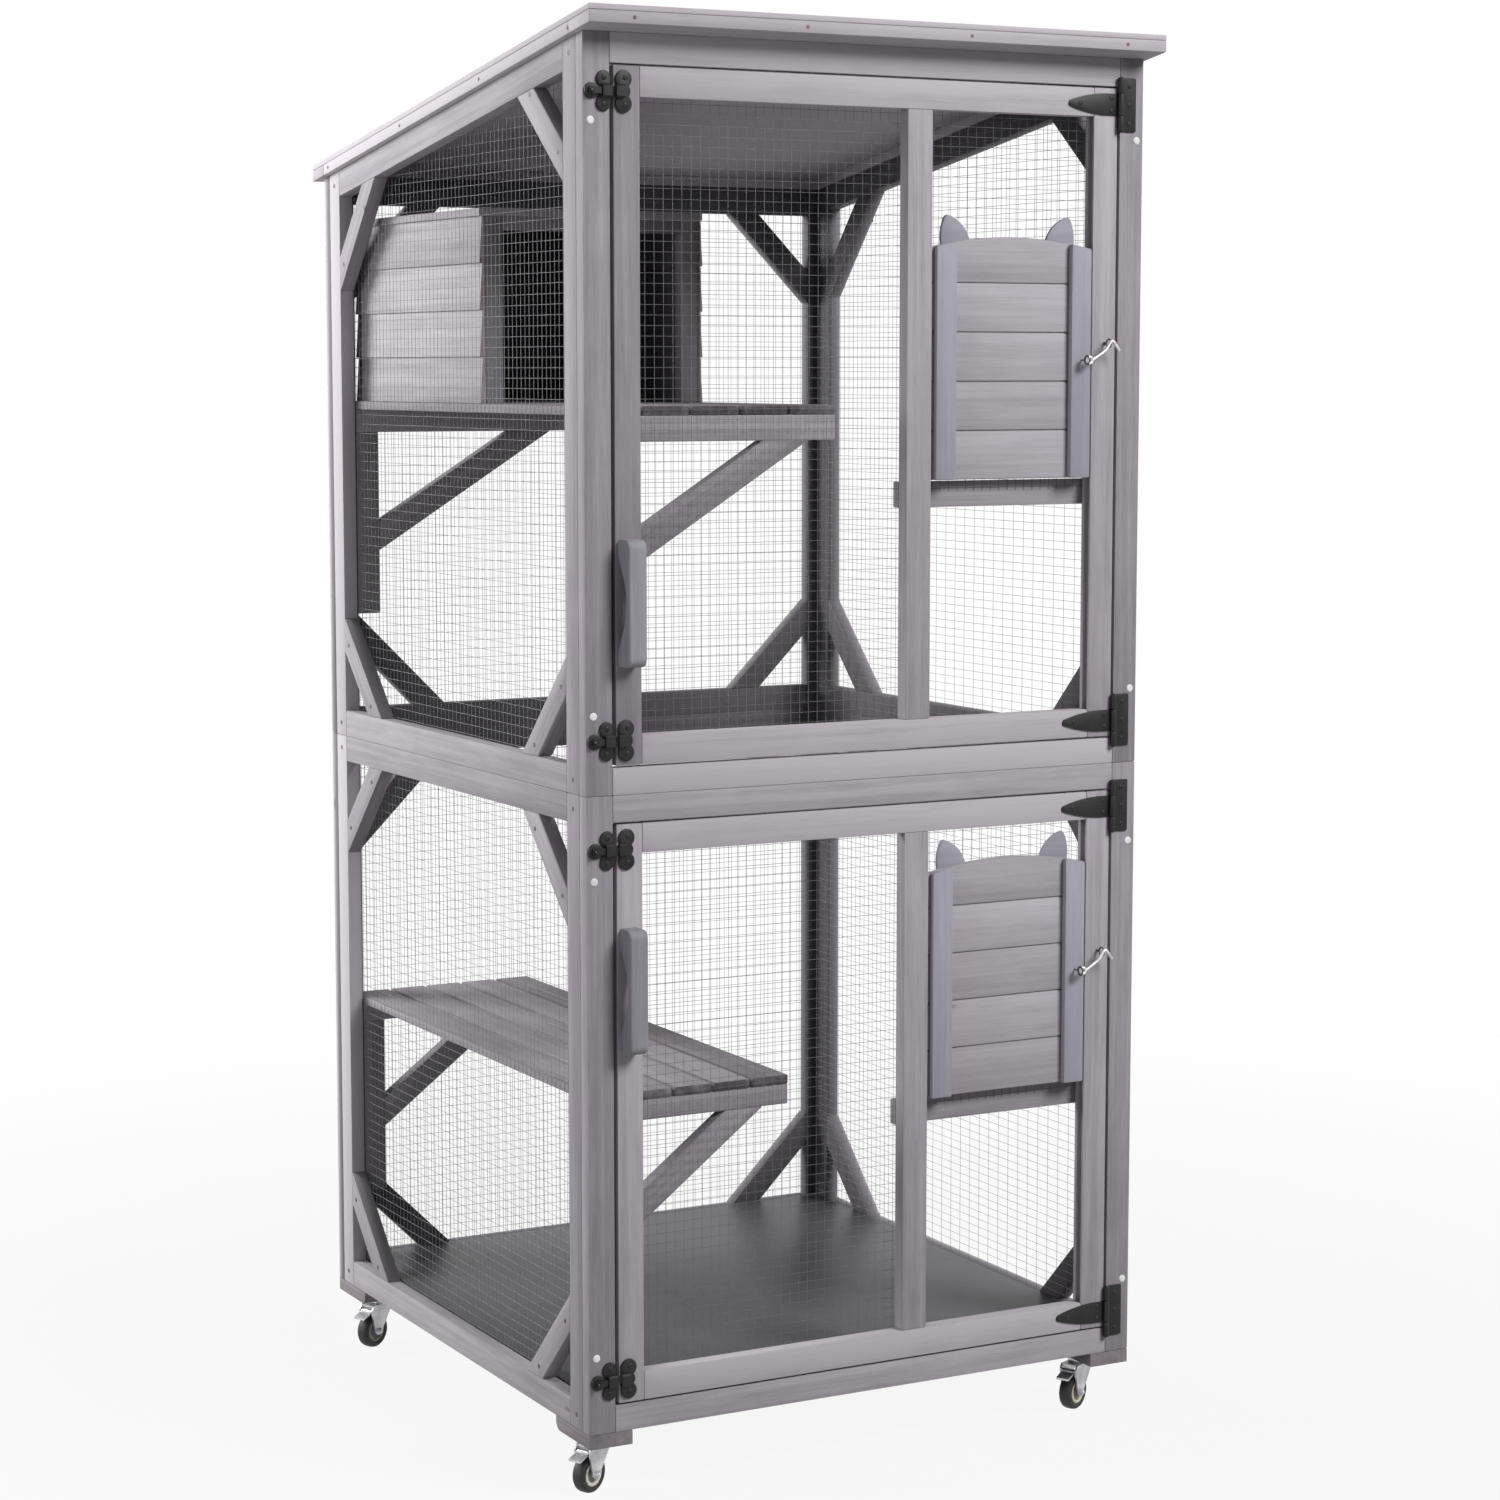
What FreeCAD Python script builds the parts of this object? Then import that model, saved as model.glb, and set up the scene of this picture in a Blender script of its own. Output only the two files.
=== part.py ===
import FreeCAD, Part
import operator
import os

import Sketcher

# Walk-in cat enclosure on casters, as separate timber, net and metal pieces, in millimetres.
# Origin: on the ground below the middle of the roof. +X right, +Y to the back, +Z up.

os.makedirs("parts", exist_ok=True)
DOC = FreeCAD.newDocument("cat_enclosure")
SHEET = DOC.addObject("Spreadsheet::Sheet", "Sizes")
NODES = []
ROWS = []
SIGNS = {"+": operator.add, "-": operator.sub, "*": operator.mul, "/": operator.truediv}


class Size:
    """A length kept both as a number and as the sheet expression it follows."""

    def __init__(self, text, value):
        self.text = text
        self.value = value

    def __add__(self, other):
        return joined(self, "+", other)

    def __radd__(self, other):
        return joined(other, "+", self)

    def __sub__(self, other):
        return joined(self, "-", other)

    def __rsub__(self, other):
        return joined(other, "-", self)

    def __mul__(self, other):
        return joined(self, "*", other)

    def __rmul__(self, other):
        return joined(other, "*", self)

    def __truediv__(self, other):
        return joined(self, "/", other)

    def __neg__(self):
        return joined(0.0, "-", self)


def as_size(item):
    """Give a plain number the form of a Size."""
    if isinstance(item, Size):
        return item
    return Size("({!r})".format(float(item)), float(item))


def joined(first, sign, second):
    """Combine two lengths in value and in expression."""
    first = as_size(first)
    second = as_size(second)
    text = "({} {} {})".format(first.text, sign, second.text)
    return Size(text, SIGNS[sign](first.value, second.value))


def size(alias, value):
    """Write one driving dimension to the sheet and return it."""
    ROWS.append(alias)
    row = len(ROWS)
    SHEET.set("A{}".format(row), alias)
    SHEET.set("B{}".format(row), str(value))
    SHEET.setAlias("B{}".format(row), alias)
    return Size("Sizes.{}".format(alias), float(value))


# Timber frames
frame_width = size("frame_width", 806)
frame_depth = size("frame_depth", 846)
lower_height = size("lower_height", 800)
upper_front_height = size("upper_front_height", 917)
upper_back_height = size("upper_back_height", 784)
lumber_thick = size("lumber_thick", 20)
post_width = size("post_width", 36)
front_rail = size("front_rail", 33)
header_height = size("header_height", 36)
side_member = size("side_member", 36)
brace_width = size("brace_width", 48)
brace_leg = size("brace_leg", 84)

# Nets
net_wire = size("net_wire", 1.2)
net_pitch = size("net_pitch", 50.8)
net_lap = size("net_lap", 28)
door_net_lap = size("door_net_lap", 15)

# Roof
roof_front_overhang = size("roof_front_overhang", 38)
roof_back_overhang = size("roof_back_overhang", 22)
roof_side_overhang = size("roof_side_overhang", 9)
trim_height = size("trim_height", 15)
roof_thick = size("roof_thick", 7)

# Floor
ledger_side = size("ledger_side", 20)
ledger_level = size("ledger_level", 10)
floor_thick = size("floor_thick", 8)
floor_gap = size("floor_gap", 1)

# Shelf and platform
slat_thick = size("slat_thick", 12)
slat_count = 5
slat_front = size("slat_front", 24)
slat_back = size("slat_back", 22)
bracket_thick = size("bracket_thick", 20)
bracket_front = size("bracket_front", 25)
bracket_back = size("bracket_back", 35)
shelf_top = size("shelf_top", 424)
shelf_slat = size("shelf_slat", 51)
shelf_gap = size("shelf_gap", 4.5)
shelf_bar = size("shelf_bar", 26)
shelf_leg = size("shelf_leg", 32)
shelf_drop = size("shelf_drop", 249)
shelf_brace_run = size("shelf_brace_run", 205)
shelf_brace_fall = size("shelf_brace_fall", 156)
platform_top = size("platform_top", 1273)
platform_slat = size("platform_slat", 64)
platform_gap = size("platform_gap", 5)
platform_bar = size("platform_bar", 32)
platform_leg = size("platform_leg", 34)
platform_drop = size("platform_drop", 256)
platform_brace_run = size("platform_brace_run", 268)
platform_brace_fall = size("platform_brace_fall", 167)
brace_on_leg = size("brace_on_leg", 41)
brace_on_bar = size("brace_on_bar", 60)

# Sleeping house
house_inset = size("house_inset", 11)
house_setback = size("house_setback", 380)
house_width = size("house_width", 326)
house_depth = size("house_depth", 435)
house_wall = size("house_wall", 242)
house_roof = size("house_roof", 10)
house_post = size("house_post", 25)
house_post_thick = size("house_post_thick", 18)
house_beam = size("house_beam", 18)
course_count = 4
course_root = size("course_root", 11)
course_tip = size("course_tip", 6)
house_back_thick = size("house_back_thick", 9)

# Doors
door_gap = size("door_gap", 4)
door_member = size("door_member", 36)
middle_stile = size("middle_stile", 48)

# Sliding cat panels
cat_sill = size("cat_sill", 305)
crossbar_height = size("crossbar_height", 35)
crossbar_thick = size("crossbar_thick", 13)
crossbar_inset = size("crossbar_inset", 13)
crossbar_lap = size("crossbar_lap", 20)
groove_depth = size("groove_depth", 8)
tongue = size("tongue", 7)
slide_gap = size("slide_gap", 0.5)
board_setback = size("board_setback", 4)
board_thick = size("board_thick", 9)
board_height = size("board_height", 62.5)
panel_shoulder = size("panel_shoulder", 292)
panel_rise = size("panel_rise", 16)
batten_width = size("batten_width", 30)
batten_thick = size("batten_thick", 9)
batten_gap = size("batten_gap", 4.5)
ear_width = size("ear_width", 44)
ear_thick = size("ear_thick", 5)
ear_inset = size("ear_inset", 21)
ear_foot = size("ear_foot", 278)
ear_tip = size("ear_tip", 335)

# Hooks and screw eyes
eye_ring = size("eye_ring", 5.5)
hook_ring = size("hook_ring", 4)
hook_wire = size("hook_wire", 1.1)
eye_shank = size("eye_shank", 5)
pivot_shank = size("pivot_shank", 8)
hook_level = size("hook_level", 152)
hook_run = size("hook_run", 35)
hook_climb = size("hook_climb", 27)
prong_run = size("prong_run", 11)
prong_fall = size("prong_fall", 15)

# Handles
handle_width = size("handle_width", 25)
handle_height = size("handle_height", 155)
handle_depth = size("handle_depth", 30)
handle_round = size("handle_round", 11)
grip_length = size("grip_length", 86)
grip_depth = size("grip_depth", 16)
handle_inset = size("handle_inset", 17)
upper_handle_level = size("upper_handle_level", 198)
lower_handle_level = size("lower_handle_level", 521)

# Hinges
hinge_inset = size("hinge_inset", 20)
hinge_stand = size("hinge_stand", 4.4)
knuckle_radius = size("knuckle_radius", 4)
pin_radius = size("pin_radius", 2)
pin_gap = size("pin_gap", 0.05)
leaf_width = size("leaf_width", 21)
leaf_height = size("leaf_height", 69)
metal_thick = size("metal_thick", 2)
strap_length = size("strap_length", 77)
strap_root = size("strap_root", 28)
strap_shoulder = size("strap_shoulder", 20)
strap_tip = size("strap_tip", 9)
strap_tip_round = size("strap_tip_round", 3)
knuckle_gap = size("knuckle_gap", 0.5)

# Clover latches
latch_inset = size("latch_inset", 30)
latch_thick = size("latch_thick", 3)
base_lobe = size("base_lobe", 9)
keeper_lobe = size("keeper_lobe", 10.5)
lobe_spread = size("lobe_spread", 14)
guide_length = size("guide_length", 13)
guide_half = size("guide_half", 8)
guide_wall = size("guide_wall", 2)
bolt_half = size("bolt_half", 4)
bolt_thick = size("bolt_thick", 4)
bolt_gap = size("bolt_gap", 0.4)
bolt_length = size("bolt_length", 29)
bolt_reach = size("bolt_reach", 1.5)
knob_radius = size("knob_radius", 2.6)
knob_height = size("knob_height", 6)
keeper_offset = size("keeper_offset", 3)

# Casters
caster_height = size("caster_height", 72)
block_thick = size("block_thick", 18)
block_width = size("block_width", 60)
block_length = size("block_length", 100)
block_round = size("block_round", 12)
swivel_inset = size("swivel_inset", 38)
swivel_setback = size("swivel_setback", 60)
caster_turn = size("caster_turn", 26.5)
plate_side = size("plate_side", 40)
plate_thick = size("plate_thick", 2.5)
race_radius = size("race_radius", 15)
race_height = size("race_height", 6)
kingpin_radius = size("kingpin_radius", 4)
rivet_radius = size("rivet_radius", 7)
rivet_height = size("rivet_height", 2)
swivel_gap = size("swivel_gap", 0.3)
fork_thick = size("fork_thick", 2.5)
fork_gap = size("fork_gap", 1.5)
fork_half = size("fork_half", 15)
axle_radius = size("axle_radius", 3)
axle_boss = size("axle_boss", 7)
trail = size("trail", 16)
wheel_radius = size("wheel_radius", 25)
wheel_width = size("wheel_width", 18)
tyre_round = size("tyre_round", 5)
hub_radius = size("hub_radius", 16)
hub_width = size("hub_width", 15)
pedal_pivot_x = size("pedal_pivot_x", 26)
pedal_pivot_drop = size("pedal_pivot_drop", 18)
pedal_pin = size("pedal_pin", 2)
pedal_barrel = size("pedal_barrel", 3.6)
pedal_length = size("pedal_length", 19)
pedal_fall = size("pedal_fall", 8)
pedal_thick = size("pedal_thick", 2.5)
pedal_side_gap = size("pedal_side_gap", 1)

# Screw caps and nails
cap_radius = size("cap_radius", 5)
cap_height = size("cap_height", 1.2)
cap_low = size("cap_low", 98)
cap_high = size("cap_high", 105)
nail_radius = size("nail_radius", 2.5)
nail_height = size("nail_height", 0.8)
nail_end = size("nail_end", 60)
nail_count = 4

DOC.recompute()

# Reference planes
half_width = frame_width / 2
front = (roof_front_overhang - roof_back_overhang - frame_depth) / 2
back = front + frame_depth
ground = caster_height + block_thick
storey = ground + lower_height
eaves = storey + upper_front_height
roof_slope = (upper_front_height - upper_back_height) / frame_depth
inner_x = half_width - lumber_thick - net_wire
inner_back = back - lumber_thick - net_wire
door_edge = half_width - post_width - door_gap
gap_middle = half_width - post_width - door_gap / 2
bay_left = middle_stile + door_member
bay_right = door_edge - door_member


def roof_line(y):
    """Height of the sloped frame top at a depth."""
    return eaves - roof_slope * (y - front)


def flat_line(y):
    """Height of the top of the lower frames, the same at every depth."""
    return storey + y * 0.0


def bind(piece, prop, amount):
    """Tie a property to the sheet."""
    piece.setExpression(prop, as_size(amount).text)


def place(piece, x, y, z, axis=None, angle=0.0):
    """Turn a piece once and tie its place to the sheet."""
    turn = FreeCAD.Rotation()
    if axis is not None:
        turn = FreeCAD.Rotation(FreeCAD.Vector(*axis), angle)
    piece.Placement = FreeCAD.Placement(FreeCAD.Vector(), turn)
    bind(piece, "Placement.Base.x", x)
    bind(piece, "Placement.Base.y", y)
    bind(piece, "Placement.Base.z", z)
    return piece


def plank(name, x, y, z, z_back=None):
    """A straight timber between bounds; z_back gives its lower and upper limit at the back end."""
    if z_back is None:
        piece = DOC.addObject("Part::Box", name)
        bind(piece, "Length", as_size(x[1]) - x[0])
        bind(piece, "Width", as_size(y[1]) - y[0])
        bind(piece, "Height", as_size(z[1]) - z[0])
        return place(piece, x[0], y[0], z[0])
    piece = DOC.addObject("Part::Wedge", name)
    for prop, amount in (("Xmin", x[0]), ("X2min", x[0]), ("Xmax", x[1]), ("X2max", x[1])):
        bind(piece, prop, amount)
    for prop, amount in (("Ymin", y[0]), ("Ymax", y[1]), ("Zmin", z[0]), ("Zmax", z[1])):
        bind(piece, prop, amount)
    bind(piece, "Z2min", z_back[0])
    bind(piece, "Z2max", z_back[1])
    return piece


def rod(name, radius, x, y, z):
    """A round bar along the one direction given as a pair of bounds."""
    piece = DOC.addObject("Part::Cylinder", name)
    bind(piece, "Radius", radius)
    if isinstance(x, tuple):
        bind(piece, "Height", as_size(x[1]) - x[0])
        return place(piece, x[0], y, z, (0, 1, 0), 90.0)
    if isinstance(y, tuple):
        bind(piece, "Height", as_size(y[1]) - y[0])
        return place(piece, x, y[0], z, (1, 0, 0), -90.0)
    bind(piece, "Height", as_size(z[1]) - z[0])
    return place(piece, x, y, z[0])


def ring(name, radius, wire, x, y, z, axis, angle):
    """A wire ring, turned from lying flat."""
    piece = DOC.addObject("Part::Torus", name)
    bind(piece, "Radius1", radius)
    bind(piece, "Radius2", wire)
    return place(piece, x, y, z, axis, angle)


def fuse(name, pieces):
    """Join shapes that are one piece of metal."""
    piece = DOC.addObject("Part::MultiFuse", name)
    piece.Shapes = pieces
    return piece


def cut(name, base, tool):
    """Take a tool out of a shape."""
    piece = DOC.addObject("Part::Cut", name)
    piece.Base = base
    piece.Tool = tool
    return piece


def common(name, base, tool):
    """Keep what two shapes share."""
    piece = DOC.addObject("Part::Common", name)
    piece.Base = base
    piece.Tool = tool
    return piece


def node(name, pieces):
    """Gather the solids of one named node."""
    piece = DOC.addObject("Part::Compound", name)
    piece.Links = pieces
    piece.Label = name
    NODES.append(piece)
    return piece


def draw(sketch, corners):
    """Draw a closed outline, tied to the sheet corner by corner.

    Corners run counter-clockwise; a third entry is the outward rise of the arc that leaves the corner.
    """
    ends = []
    for index, corner in enumerate(corners):
        following = corners[(index + 1) % len(corners)]
        start = FreeCAD.Vector(as_size(corner[0]).value, as_size(corner[1]).value, 0)
        stop = FreeCAD.Vector(as_size(following[0]).value, as_size(following[1]).value, 0)
        shape = Part.LineSegment(start, stop)
        if len(corner) == 3:
            along = stop - start
            outward = FreeCAD.Vector(along.y, -along.x, 0).normalize()
            shape = Part.Arc(start, (start + stop) * 0.5 + outward * as_size(corner[2]).value, stop)
        line = sketch.addGeometry(shape, False)
        first = 1 if (sketch.getPoint(line, 1) - start).Length < 0.000001 else 2
        ends.append((line, first, 3 - first))
    for index, (line, first, last) in enumerate(ends):
        other = ends[(index + 1) % len(ends)]
        sketch.addConstraint(Sketcher.Constraint("Coincident", line, last, other[0], other[1]))
    for (line, first, last), corner in zip(ends, corners):
        for kind, amount in (("DistanceX", corner[0]), ("DistanceY", corner[1])):
            rule = sketch.addConstraint(Sketcher.Constraint(kind, line, first, as_size(amount).value))
            bind(sketch, "Constraints[{}]".format(rule), amount)
    for index, ((line, first, last), corner) in enumerate(zip(ends, corners)):
        if len(corner) == 3:
            following = corners[(index + 1) % len(corners)]
            run = as_size(following[0]) - corner[0]
            climb = as_size(following[1]) - corner[1]
            rise = as_size(corner[2])
            if rise.value < 0:
                rise = -rise
            radius = (run * run + climb * climb) / (8.0 * rise) + rise / 2.0
            rule = sketch.addConstraint(Sketcher.Constraint("Radius", line, radius.value))
            bind(sketch, "Constraints[{}]".format(rule), radius)


def sketched_body(name, corners):
    """Start a body with one outline on its base plane."""
    body = DOC.addObject("PartDesign::Body", name)
    sketch = body.newObject("Sketcher::SketchObject", name + "_outline")
    for plane in body.Origin.OriginFeatures:
        if plane.Role == "XY_Plane":
            sketch.AttachmentSupport = (plane, [""])
    sketch.MapMode = "FlatFace"
    draw(sketch, corners)
    return body, sketch


def padded(name, corners, thick):
    """Pad an outline upward from the base plane."""
    body, sketch = sketched_body(name, corners)
    pad = body.newObject("PartDesign::Pad", name + "_pad")
    pad.Profile = sketch
    bind(pad, "Length", thick)
    sketch.Visibility = False
    return body


def facing(name, corners, y, thick):
    """Pad an X-Z outline forward from its back face."""
    body = padded(name, corners, thick)
    return place(body, 0, y, 0, (1, 0, 0), 90.0)


def sideways(name, corners, x, thick):
    """Pad a Y-Z outline to the right from its left face."""
    body = padded(name, corners, thick)
    return place(body, x, 0, 0, (1, 1, 1), 120.0)


def net_sheet(name, to_point, thrust, span, low, high):
    """One welded net as a holed sheet, its cells trimmed to the outline.

    to_point places (across, up) on the sheet, thrust is its thickness, span its sides,
    and low and high give its lower and upper edge at a place across. Reads sizes as numbers.
    """
    pitch = net_pitch.value
    wire = net_wire.value
    tallest = max(high(span[0]), high(span[1])) - low
    columns = max(1, round((span[1] - span[0] - wire) / pitch))
    rows = max(1, round((tallest - wire) / pitch))
    step_across = (span[1] - span[0] - wire) / columns
    step_up = (tallest - wire) / rows

    def wire_loop(corners):
        points = [to_point(across, up) for across, up in corners]
        return Part.makePolygon(points + points[:1])

    edge = [(span[0], low), (span[1], low), (span[1], high(span[1])), (span[0], high(span[0]))]
    loops = [wire_loop(edge)]
    for column in range(columns):
        left = span[0] + wire + column * step_across
        right = left + step_across - wire
        for row in range(rows):
            bottom = low + wire + row * step_up
            top_left = min(bottom + step_up - wire, high(left) - wire)
            top_right = min(bottom + step_up - wire, high(right) - wire)
            if min(top_left, top_right) - bottom < 3.0 * wire:
                continue
            loops.append(wire_loop([(left, bottom), (right, bottom), (right, top_right), (left, top_left)]))
    piece = DOC.addObject("Part::Feature", name)
    piece.Shape = Part.makeFace(loops, "Part::FaceMakerBullseye").extrude(thrust)
    return piece


def corner_braces(name, across, low, high, pad_at, thick):
    """Four diagonal braces in the corners of a panel's window.

    across holds the window's two sides, low its sill and high(side) its head.
    """
    outer = brace_leg + brace_width
    braces = []
    for word, sill in (("low", True), ("high", False)):
        for tag, side, sense in (("first", across[0], 1.0), ("last", across[1], -1.0)):
            near = side + sense * brace_leg
            far = side + sense * outer
            if sill:
                corners = [(side, low + brace_leg), (near, low), (far, low), (side, low + outer)]
            else:
                head = high(side)
                corners = [(side, head - outer), (far, high(far)), (near, high(near)), (side, head - brace_leg)]
            if sense < 0:
                corners = corners[::-1]
            braces.append(pad_at("{}_{}_{}_brace".format(name, word, tag), corners, thick))
    return braces


# Front frames: two posts and two rails each, the upper ones cut to the roof slope
def front_frame(name, bottom, line, head):
    """One front frame: posts at the sides, a sill and a head rail between them."""
    y = (front, front + lumber_thick)
    between = (post_width - half_width, half_width - post_width)
    pieces = []
    for tag, x in (("left", (-half_width, post_width - half_width)), ("right", (half_width - post_width, half_width))):
        pieces.append(plank("{}_{}_post".format(name, tag), x, y, (bottom, line(y[0])), (bottom, line(y[1]))))
    pieces.append(plank(name + "_sill", between, y, (bottom, bottom + front_rail)))
    lower_edge = line(front) - head
    pieces.append(plank(name + "_head", between, y, (lower_edge, line(y[0])), (lower_edge, line(y[1]))))
    node(name, pieces)


front_frame("lower_front_frame", ground, flat_line, front_rail)
front_frame("upper_front_frame", storey, roof_line, header_height)


def side_frame(name, left_side, bottom, line):
    """One side frame with stiles, rails and corner braces, flush in one plane."""
    x = (-half_width, lumber_thick - half_width) if left_side else (half_width - lumber_thick, half_width)
    starts = (front + lumber_thick, back - lumber_thick - side_member)
    pieces = []
    for tag, start in (("front", starts[0]), ("back", starts[1])):
        y = (start, start + side_member)
        pieces.append(plank("{}_{}_stile".format(name, tag), x, y, (bottom, line(y[0])), (bottom, line(y[1]))))
    y = (starts[0] + side_member, starts[1])
    pieces.append(plank(name + "_sill", x, y, (bottom, bottom + side_member)))
    upper = [(line(depth) - side_member, line(depth)) for depth in y]
    pieces.append(plank(name + "_head", x, y, upper[0], upper[1]))

    def pad_at(tag, corners, thick):
        return sideways(tag, corners, x[0], thick)

    def head(depth):
        return line(depth) - side_member

    pieces.extend(corner_braces(name, y, bottom + side_member, head, pad_at, lumber_thick))
    node(name, pieces)


for storey_word, bottom_edge, top_line in (("lower", ground, flat_line), ("upper", storey, roof_line)):
    side_frame(storey_word + "_left_frame", True, bottom_edge, top_line)
    side_frame(storey_word + "_right_frame", False, bottom_edge, top_line)


def back_frame(name, bottom, line):
    """The back frame, across the full width behind the side frames."""
    y = (back - lumber_thick, back)
    pieces = []
    for tag, x in (("left", (-half_width, side_member - half_width)), ("right", (half_width - side_member, half_width))):
        pieces.append(plank("{}_{}_stile".format(name, tag), x, y, (bottom, line(y[0])), (bottom, line(y[1]))))
    x = (side_member - half_width, half_width - side_member)
    pieces.append(plank(name + "_sill", x, y, (bottom, bottom + side_member)))
    lower_edge = line(back) - side_member
    pieces.append(plank(name + "_head", x, y, (lower_edge, line(y[0])), (lower_edge, line(y[1]))))

    def pad_at(tag, corners, thick):
        return facing(tag, corners, back, thick)

    def head(place_across):
        return lower_edge + place_across * 0.0

    pieces.extend(corner_braces(name, x, bottom + side_member, head, pad_at, lumber_thick))
    node(name, pieces)


back_frame("lower_back_frame", ground, flat_line)
back_frame("upper_back_frame", storey, roof_line)


# Nets on the inner faces of the side and back frames
def panel_nets(word, bottom, line):
    """The three nets of one storey."""
    margin = (side_member - net_lap).value
    low = bottom.value + margin
    y_span = (front.value + lumber_thick.value + margin, back.value - lumber_thick.value - margin)

    def line_at(depth):
        return line(as_size(depth)).value - margin

    def back_top(place_across):
        return line(back).value - margin

    for tag, x, sense in (("left", lumber_thick - half_width, 1.0), ("right", half_width - lumber_thick, -1.0)):
        def side_point(across, up, plane=x.value):
            return FreeCAD.Vector(plane, across, up)

        thrust = FreeCAD.Vector(sense * net_wire.value, 0, 0)
        name = "{}_{}_mesh".format(word, tag)
        node(name, [net_sheet(name + "_sheet", side_point, thrust, y_span, low, line_at)])

    def back_point(across, up):
        return FreeCAD.Vector(across, back.value - lumber_thick.value, up)

    x_limit = half_width.value - lumber_thick.value - net_wire.value
    thrust = FreeCAD.Vector(0, -net_wire.value, 0)
    name = word + "_back_mesh"
    node(name, [net_sheet(name + "_sheet", back_point, thrust, (-x_limit, x_limit), low, back_top)])


panel_nets("lower", ground, flat_line)
panel_nets("upper", storey, roof_line)

# Roof: trim strips on the sloped frame tops, one panel over them
roof_x = half_width + roof_side_overhang
roof_y = (front - roof_front_overhang, back + roof_back_overhang)


def roof_piece(name, x, y, low, high):
    """A flat roof piece following the slope between two heights above the frame tops."""
    limits = [(roof_line(depth) + low, roof_line(depth) + high) for depth in y]
    return plank(name, x, y, limits[0], limits[1])


trim_front = (roof_y[0], front + lumber_thick)
trim_back = (back - lumber_thick, roof_y[1])
node("roof_trim", [
    roof_piece("front_trim", (-roof_x, roof_x), trim_front, 0, trim_height),
    roof_piece("back_trim", (-roof_x, roof_x), trim_back, 0, trim_height),
    roof_piece("left_trim", (-roof_x, lumber_thick - half_width), (trim_front[1], trim_back[0]), 0, trim_height),
    roof_piece("right_trim", (half_width - lumber_thick, roof_x), (trim_front[1], trim_back[0]), 0, trim_height),
])
node("roof_panel", [roof_piece("roof_sheet", (-roof_x, roof_x), roof_y, trim_height, trim_height + roof_thick)])

# Floor sheet on four ledgers
ledger_z = (ground + ledger_level, ground + ledger_level + ledger_side)
ledger_front = front + lumber_thick
node("floor_ledgers", [
    plank("front_ledger", (-inner_x, inner_x), (ledger_front, ledger_front + ledger_side), ledger_z),
    plank("back_ledger", (-inner_x, inner_x), (inner_back - ledger_side, inner_back), ledger_z),
    plank("left_ledger", (-inner_x, ledger_side - inner_x), (ledger_front + ledger_side, inner_back - ledger_side), ledger_z),
    plank("right_ledger", (inner_x - ledger_side, inner_x), (ledger_front + ledger_side, inner_back - ledger_side), ledger_z),
])
node("floor_panel", [plank(
    "floor_sheet",
    (floor_gap - inner_x, inner_x - floor_gap),
    (ledger_front + door_gap, inner_back - floor_gap),
    (ledger_z[1], ledger_z[1] + floor_thick),
)])


# Shelf and platform: slats front to back on two bracket frames against the left side
def slatted_level(word, top, slat, gap, bar, leg, drop, run, fall):
    """The slats and the front and back brackets of one level."""
    z = (ground + top - slat_thick, ground + top)
    y = (front + slat_front, back - slat_back)
    slats = []
    for index in range(slat_count):
        left = index * (slat + gap) - inner_x
        slats.append(plank("{}_slat_{}".format(word, index + 1), (left, left + slat), y, z))
    node(word + "_slats", slats)
    right = slat_count * slat + (slat_count - 1) * gap - inner_x
    under = z[0] - bar
    leg_face = leg - inner_x
    brackets = []
    starts = (("front", front + bracket_front), ("back", back - bracket_back - bracket_thick))
    for tag, start in starts:
        depth = (start, start + bracket_thick)
        name = "{}_{}".format(word, tag)
        brackets.append(plank(name + "_bar", (-inner_x, right), depth, (under, z[0])))
        brackets.append(plank(name + "_leg", (-inner_x, leg_face), depth, (under - drop, under)))
        corners = [
            (leg_face, under - fall),
            (leg_face + run, under),
            (leg_face + run - brace_on_bar, under),
            (leg_face, under - fall + brace_on_leg),
        ]
        brackets.append(facing(name + "_diagonal", corners, depth[1], bracket_thick))
    node(word + "_brackets", brackets)


slatted_level("lower_shelf", shelf_top, shelf_slat, shelf_gap, shelf_bar, shelf_leg, shelf_drop,
              shelf_brace_run, shelf_brace_fall)
slatted_level("upper_platform", platform_top, platform_slat, platform_gap, platform_bar, platform_leg, platform_drop,
              platform_brace_run, platform_brace_fall)

# Sleeping house: lapped boards on both sides, a plain back, an open front
house_x = (house_inset - inner_x, house_inset - inner_x + house_width)
house_y = (front + house_setback, front + house_setback + house_depth)
house_z = (ground + platform_top, ground + platform_top + house_wall)
wall_y = (house_y[0] + house_post_thick, house_y[1])
course_height = house_wall / course_count
wall_pieces = []
for course in range(course_count):
    level = house_z[0] + course * course_height
    for wall_word, face, sense in (("left", house_x[0], 1.0), ("right", house_x[1], -1.0)):
        inner_face = face + sense * course_root
        edge_low = sorted((face, inner_face), key=operator.attrgetter("value"))
        edge_high = sorted((face + sense * (course_root - course_tip), inner_face), key=operator.attrgetter("value"))
        board = DOC.addObject("Part::Wedge", "house_{}_course_{}".format(wall_word, course + 1))
        for prop, amount in (("Xmin", edge_low[0]), ("Xmax", edge_low[1]), ("X2min", edge_high[0]), ("X2max", edge_high[1])):
            bind(board, prop, amount)
        for prop, amount in (("Ymin", 0), ("Ymax", course_height), ("Zmin", 0), ("Z2min", 0)):
            bind(board, prop, amount)
        bind(board, "Zmax", wall_y[1] - wall_y[0])
        bind(board, "Z2max", wall_y[1] - wall_y[0])
        place(board, 0, wall_y[1], level, (1, 0, 0), 90.0)
        wall_pieces.append(board)
wall_pieces.append(plank(
    "house_back",
    (house_x[0] + course_root, house_x[1] - course_root),
    (house_y[1] - house_back_thick, house_y[1]),
    house_z,
))
node("house_walls", wall_pieces)
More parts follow.
